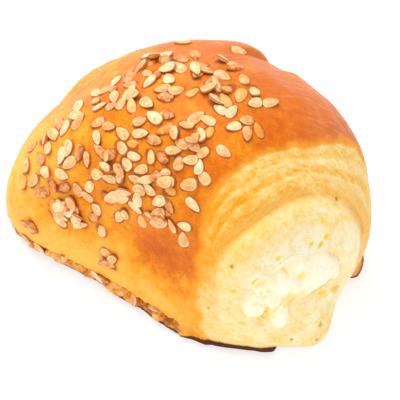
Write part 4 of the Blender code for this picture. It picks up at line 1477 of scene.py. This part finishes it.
def baked_colour(n):
    """Egg-glazed crust: mottled gold to brown, a blushed shoulder with painted sheen streaks, darker glaze
    and painted contact shade round the seeds.
    """
    crust = n.ramp(n.total(BAKE_PATTERN), BAKE_COLOURS)
    # Pinkish blush, partly painted sheen, then pale streaks of painted sheen over it
    crust = n.mix(n.scaled("blush_and_sheen", BLUSH_AND_SHEEN_PATTERN), crust, CRUST_BLUSH_AND_SHEEN)
    sheen = n.times("blush_and_sheen", n.range("streaks", *SHEEN_RANGE), clamp=True)
    crust = n.mix(n.times(sheen, SHEEN_SHARE), crust, CRUST_SHEEN_STREAK)
    # Painted shade: darker orange round each seed, partly glaze, and a dark contact ring at its edge
    crust = n.mix(n.scaled("halo", HALO_PATTERN), crust, HALO_GLAZE_AND_SHADE)
    crust = n.mix(n.range("halo", *SEED_CONTACT_SHADE_RANGE), crust, SEED_CONTACT_SHADE)
    crust = n.mix(n.times("seam", SEAM_SHARE), crust, CRUST_BROWN)
    return n.mix(n.range(n.total(WARM_PATTERN), *WARM_RANGE), crust, CRUST_EDGE_GOLD)


def torn_colour(n):
    """Pale torn layers, the dough inside the crease, and the orange folds between them."""
    n.known["fibres"] = n.times(n.total(FIBRE_PATTERN), "streaky")
    n.known["torn"] = n.total(TORN_PATTERN)
    layers = n.ramp("torn", TORN_COLOURS)
    dough = n.ramp(n.total(CRUMB_PATTERN), CRUMB_COLOURS)
    layers = n.mix("inside", layers, dough)
    fold = n.mix(n.range("inside", *FOLD_COLOUR_RANGE), FOLD_TAN, FOLD_ORANGE)
    layers = n.mix(n.scaled("fold", FOLD_PATTERN), layers, fold)
    near_curd = n.scaled("curdy", CURDY_PATTERN)
    layers = n.mix(near_curd, layers, DOUGH_WHITE)
    layers = n.mix(n.range(near_curd, *CURDY_WHITE_RANGE), layers, CURD_WHITE)
    layers = n.mix(n.times("swirl", SWIRL_SHARE), layers, DOUGH_YELLOW)
    layers = n.mix(n.times("pit", PIT_SHARE), layers, SPECK_BROWN)
    mark = n.mix("speck_brown", SPECK_YELLOW, SPECK_BROWN)
    layers = n.mix("speck_mark", layers, mark)
    return n.mix(n.times("gap", GAP_SHARE), layers, gap_colour(n))


def gap_colour(n):
    """Yellow and tan of the small gaps."""
    return n.mix(n.range("mottle", *GAP_RANGE), GAP_BROWN, GAP_YELLOW)


def crust_material():
    """Egg-glazed crust, pale torn layers, orange folds and a dark foot."""
    n = Nodes("baked_dough", CRUST_TEXTURES)
    crust = baked_colour(n)
    layers = torn_colour(n)
    colour = n.mix(n.range(n.total(EDGE_PATTERN), *EDGE_RANGE), crust, layers)
    # Skirt lumps with painted highlight on their tops, painted shade between them and painted light on the
    # right cheek
    rolled = n.ramp(n.total(LUMP_PATTERN), LUMP_COLOURS)
    colour = n.mix(n.times("skirt", LUMP_SHARE), colour, rolled)
    base = n.ramp(n.total(SCORCH_PATTERN), SCORCH_COLOURS)
    colour = n.mix(n.range("foot", *FOOT_RANGE), colour, base)
    n.known["pale_wisps"] = n.times("wisps", "pale")
    bump = n.bump(CRUST_BUMP_PATTERN, *CRUST_BUMP)
    roughness = n.range("pale", *CRUST_ROUGHNESS)
    return n.surface({"Base Color": colour, "Normal": bump, "Roughness": roughness, **CRUST_SURFACE})


def cheese_material():
    """Moist white curd, yellower in the creases, partly painted shade there."""
    n = Nodes("curd_cheese", CURD_TEXTURES)
    colour = n.ramp(n.total(CURD_PATTERN), CURD_COLOURS)
    colour = n.mix(n.scaled("level", CURDY_PATTERN), colour, DOUGH_WHITE)
    colour = n.mix(n.times("gap", CHEESE_GAP_SHARE), colour, gap_colour(n))
    bump = n.bump(CURD_BUMP_PATTERN, *CURD_BUMP)
    return n.surface({"Base Color": colour, "Normal": bump, **CURD_SURFACE})


# The palest seed colour also serves as the painted highlight on the rim, and the brown as painted shade at
# the edge
SEED_PALE_AND_HIGHLIGHT = linear(254, 231, 184)
SEED_CREAM = linear(246, 200, 134)
SEED_TAN = linear(234, 170, 98)
SEED_TOASTED = linear(224, 144, 80)
SEED_BROWN_AND_EDGE_SHADE = linear(184, 92, 44)
SEED_PANEL = linear(228, 158, 88)
SHADE_PATTERN = {"shade": 1.0, "fine": 0.5, "blotch": 0.8}
SHADE_COLOURS = ((0.0, SEED_PALE_AND_HIGHLIGHT), (0.40, SEED_CREAM), (0.75, SEED_TAN), (0.95, SEED_TOASTED),
                 (1.04, SEED_BROWN_AND_EDGE_SHADE))
PANEL_RANGE = (0.7, 0.5)
PANEL_LEVEL = 0.3
LINE_RANGE = (0.0, 0.1, 0.5, 0.0)
# Paler rim near the edge, partly the seed's own colour and partly a painted highlight, weaker on dark seeds
SEED_RIM = 0.84
RIM_RANGE = (0.0, 0.1, 0.45, 0.0)
RIM_SHADE_RANGE = (0.6, 0.95, 1.0, 0.0)
# Brown at the seed's very edge: painted shade where it meets the crust
SEED_EDGE_SHADE_RANGE = (0.9, 1.0, 0.0, 0.85)
GLAZE_RANGE = (0.8, 1.0, 0.0, 0.6)
SEED_SURFACE = {"Roughness": 0.4, "Specular IOR Level": 0.4}
SEED_BUMP = (0.08 * MM, 0.4)


def seed_material():
    """Toasted sesame, some of it under the glaze, with a paler margin that is partly a painted highlight
    and a brown edge of painted shade.
    """
    n = Nodes("sesame", SEED_TEXTURES)
    colour = n.ramp(n.total(SHADE_PATTERN), SHADE_COLOURS)
    blotch = n.math("ADD", "blotch", PANEL_LEVEL)
    colour = n.mix(n.times(n.range("margin", *PANEL_RANGE), blotch, clamp=True), colour, SEED_PANEL)
    off_line = n.math("ABSOLUTE", n.math("SUBTRACT", "margin", SEED_LINE))
    fine = n.math("ADD", "fine", 1.0)
    colour = n.mix(n.times(n.range(off_line, *LINE_RANGE), fine, clamp=True), colour, SEED_TOASTED)
    off_rim = n.math("ABSOLUTE", n.math("SUBTRACT", "margin", SEED_RIM))
    # Paler rim, partly a painted highlight
    light = n.range("shade", *RIM_SHADE_RANGE)
    colour = n.mix(n.times(n.range(off_rim, *RIM_RANGE), light), colour, SEED_PALE_AND_HIGHLIGHT)
    # Painted shade: brown at the seed's edge where it meets the crust
    colour = n.mix(n.range("margin", *SEED_EDGE_SHADE_RANGE), colour, SEED_BROWN_AND_EDGE_SHADE)
    colour = n.mix(n.range("glaze", *GLAZE_RANGE), colour, CRUST_GOLD)
    bump = n.bump({"fine": 1.0}, *SEED_BUMP)
    return n.surface({"Base Color": colour, "Normal": bump, **SEED_SURFACE})


# ---------------------------------------------------------------- studio
CAMERA_AZIMUTH = math.radians(34.035)
CAMERA_ELEVATION = math.radians(49.0)
CAMERA_DISTANCE = 0.45
CAMERA_LENS = 202.5
CAMERA_SENSOR = 36.0
CAMERA_NEAREST = 0.01
CAMERA_AIM = Vector((0.0, 0.0, 0.016))
CAMERA_SIDE = -1.55 * MM
CAMERA_RISE = -3.32 * MM
WHITE = (1.0, 1.0, 1.0, 1.0)
FLOOR_HALF = 1.5
FLOOR_SURFACE = {"Base Color": (0.45, 0.45, 0.45, 1.0), "Roughness": 0.8,
                 "Emission Color": WHITE, "Emission Strength": 0.66}
WORLD_STRENGTH = 0.66
# Name, place and size in metres, power in watts
SOFTBOXES = (("key", (-0.35, 0.15, 0.6), 0.45, 3.8), ("fill", (0.20, -0.70, 0.35), 0.5, 1.6),
             ("side", (0.70, 0.20, 0.30), 0.5, 0.7))


def add_camera():
    """Camera at the photograph's angle."""
    flat = math.cos(CAMERA_ELEVATION)
    back = Vector((math.sin(CAMERA_AZIMUTH) * flat, -math.cos(CAMERA_AZIMUTH) * flat,
                   math.sin(CAMERA_ELEVATION)))
    right = Vector((math.cos(CAMERA_AZIMUTH), math.sin(CAMERA_AZIMUTH), 0.0))
    up = back.cross(right)
    data = bpy.data.cameras.new("camera")
    data.lens = CAMERA_LENS
    data.sensor_width = CAMERA_SENSOR
    data.clip_start = CAMERA_NEAREST
    camera = bpy.data.objects.new("camera", data)
    bpy.context.scene.collection.objects.link(camera)
    turn = Matrix((right, up, back)).transposed().to_4x4()
    turn.translation = CAMERA_AIM + CAMERA_DISTANCE * back + CAMERA_SIDE * right + CAMERA_RISE * up
    camera.matrix_world = turn
    bpy.context.scene.camera = camera


def add_floor():
    """Plain pale table."""
    corners = [(FLOOR_HALF * x, FLOOR_HALF * y, 0.0) for x, y in ((-1, -1), (1, -1), (1, 1), (-1, 1))]
    floor = new_mesh("floor", corners, ((0, 1, 2, 3),))
    floor.data.materials.append(Nodes("floor", {}).surface(FLOOR_SURFACE))


def add_softbox(name, place, size, power):
    """Square soft light aimed at the bun."""
    data = bpy.data.lights.new(name, "AREA")
    data.shape = "SQUARE"
    data.size = size
    data.energy = power
    light = bpy.data.objects.new(name, data)
    light.location = place
    light.rotation_euler = (Vector(place) - CAMERA_AIM).to_track_quat("Z", "Y").to_euler()
    bpy.context.scene.collection.objects.link(light)


def add_light():
    """Bright soft studio light."""
    world = bpy.data.worlds.new("studio")
    bpy.context.scene.world = world
    world.use_nodes = True
    background = world.node_tree.nodes["Background"]
    background.inputs["Color"].default_value = WHITE
    background.inputs["Strength"].default_value = WORLD_STRENGTH
    for softbox in SOFTBOXES:
        add_softbox(*softbox)
    bpy.context.scene.view_settings.view_transform = "Standard"


def main():
    """Dress the frame and set the studio."""
    places = more_seeds(seed_places(SEED_COUNT))
    crust = dough_skin(places)
    crust.data.materials.append(crust_material())
    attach(crust, "root")
    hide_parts("dough")
    seeds = sesame_seeds(places)
    seeds.data.materials.append(seed_material())
    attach(seeds, "root")
    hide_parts("dough")
    cheese = cheese_core()
    cheese.data.materials.append(cheese_material())
    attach(cheese, "root")
    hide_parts("cheese_filling")
    add_camera()
    add_floor()
    add_light()


main()
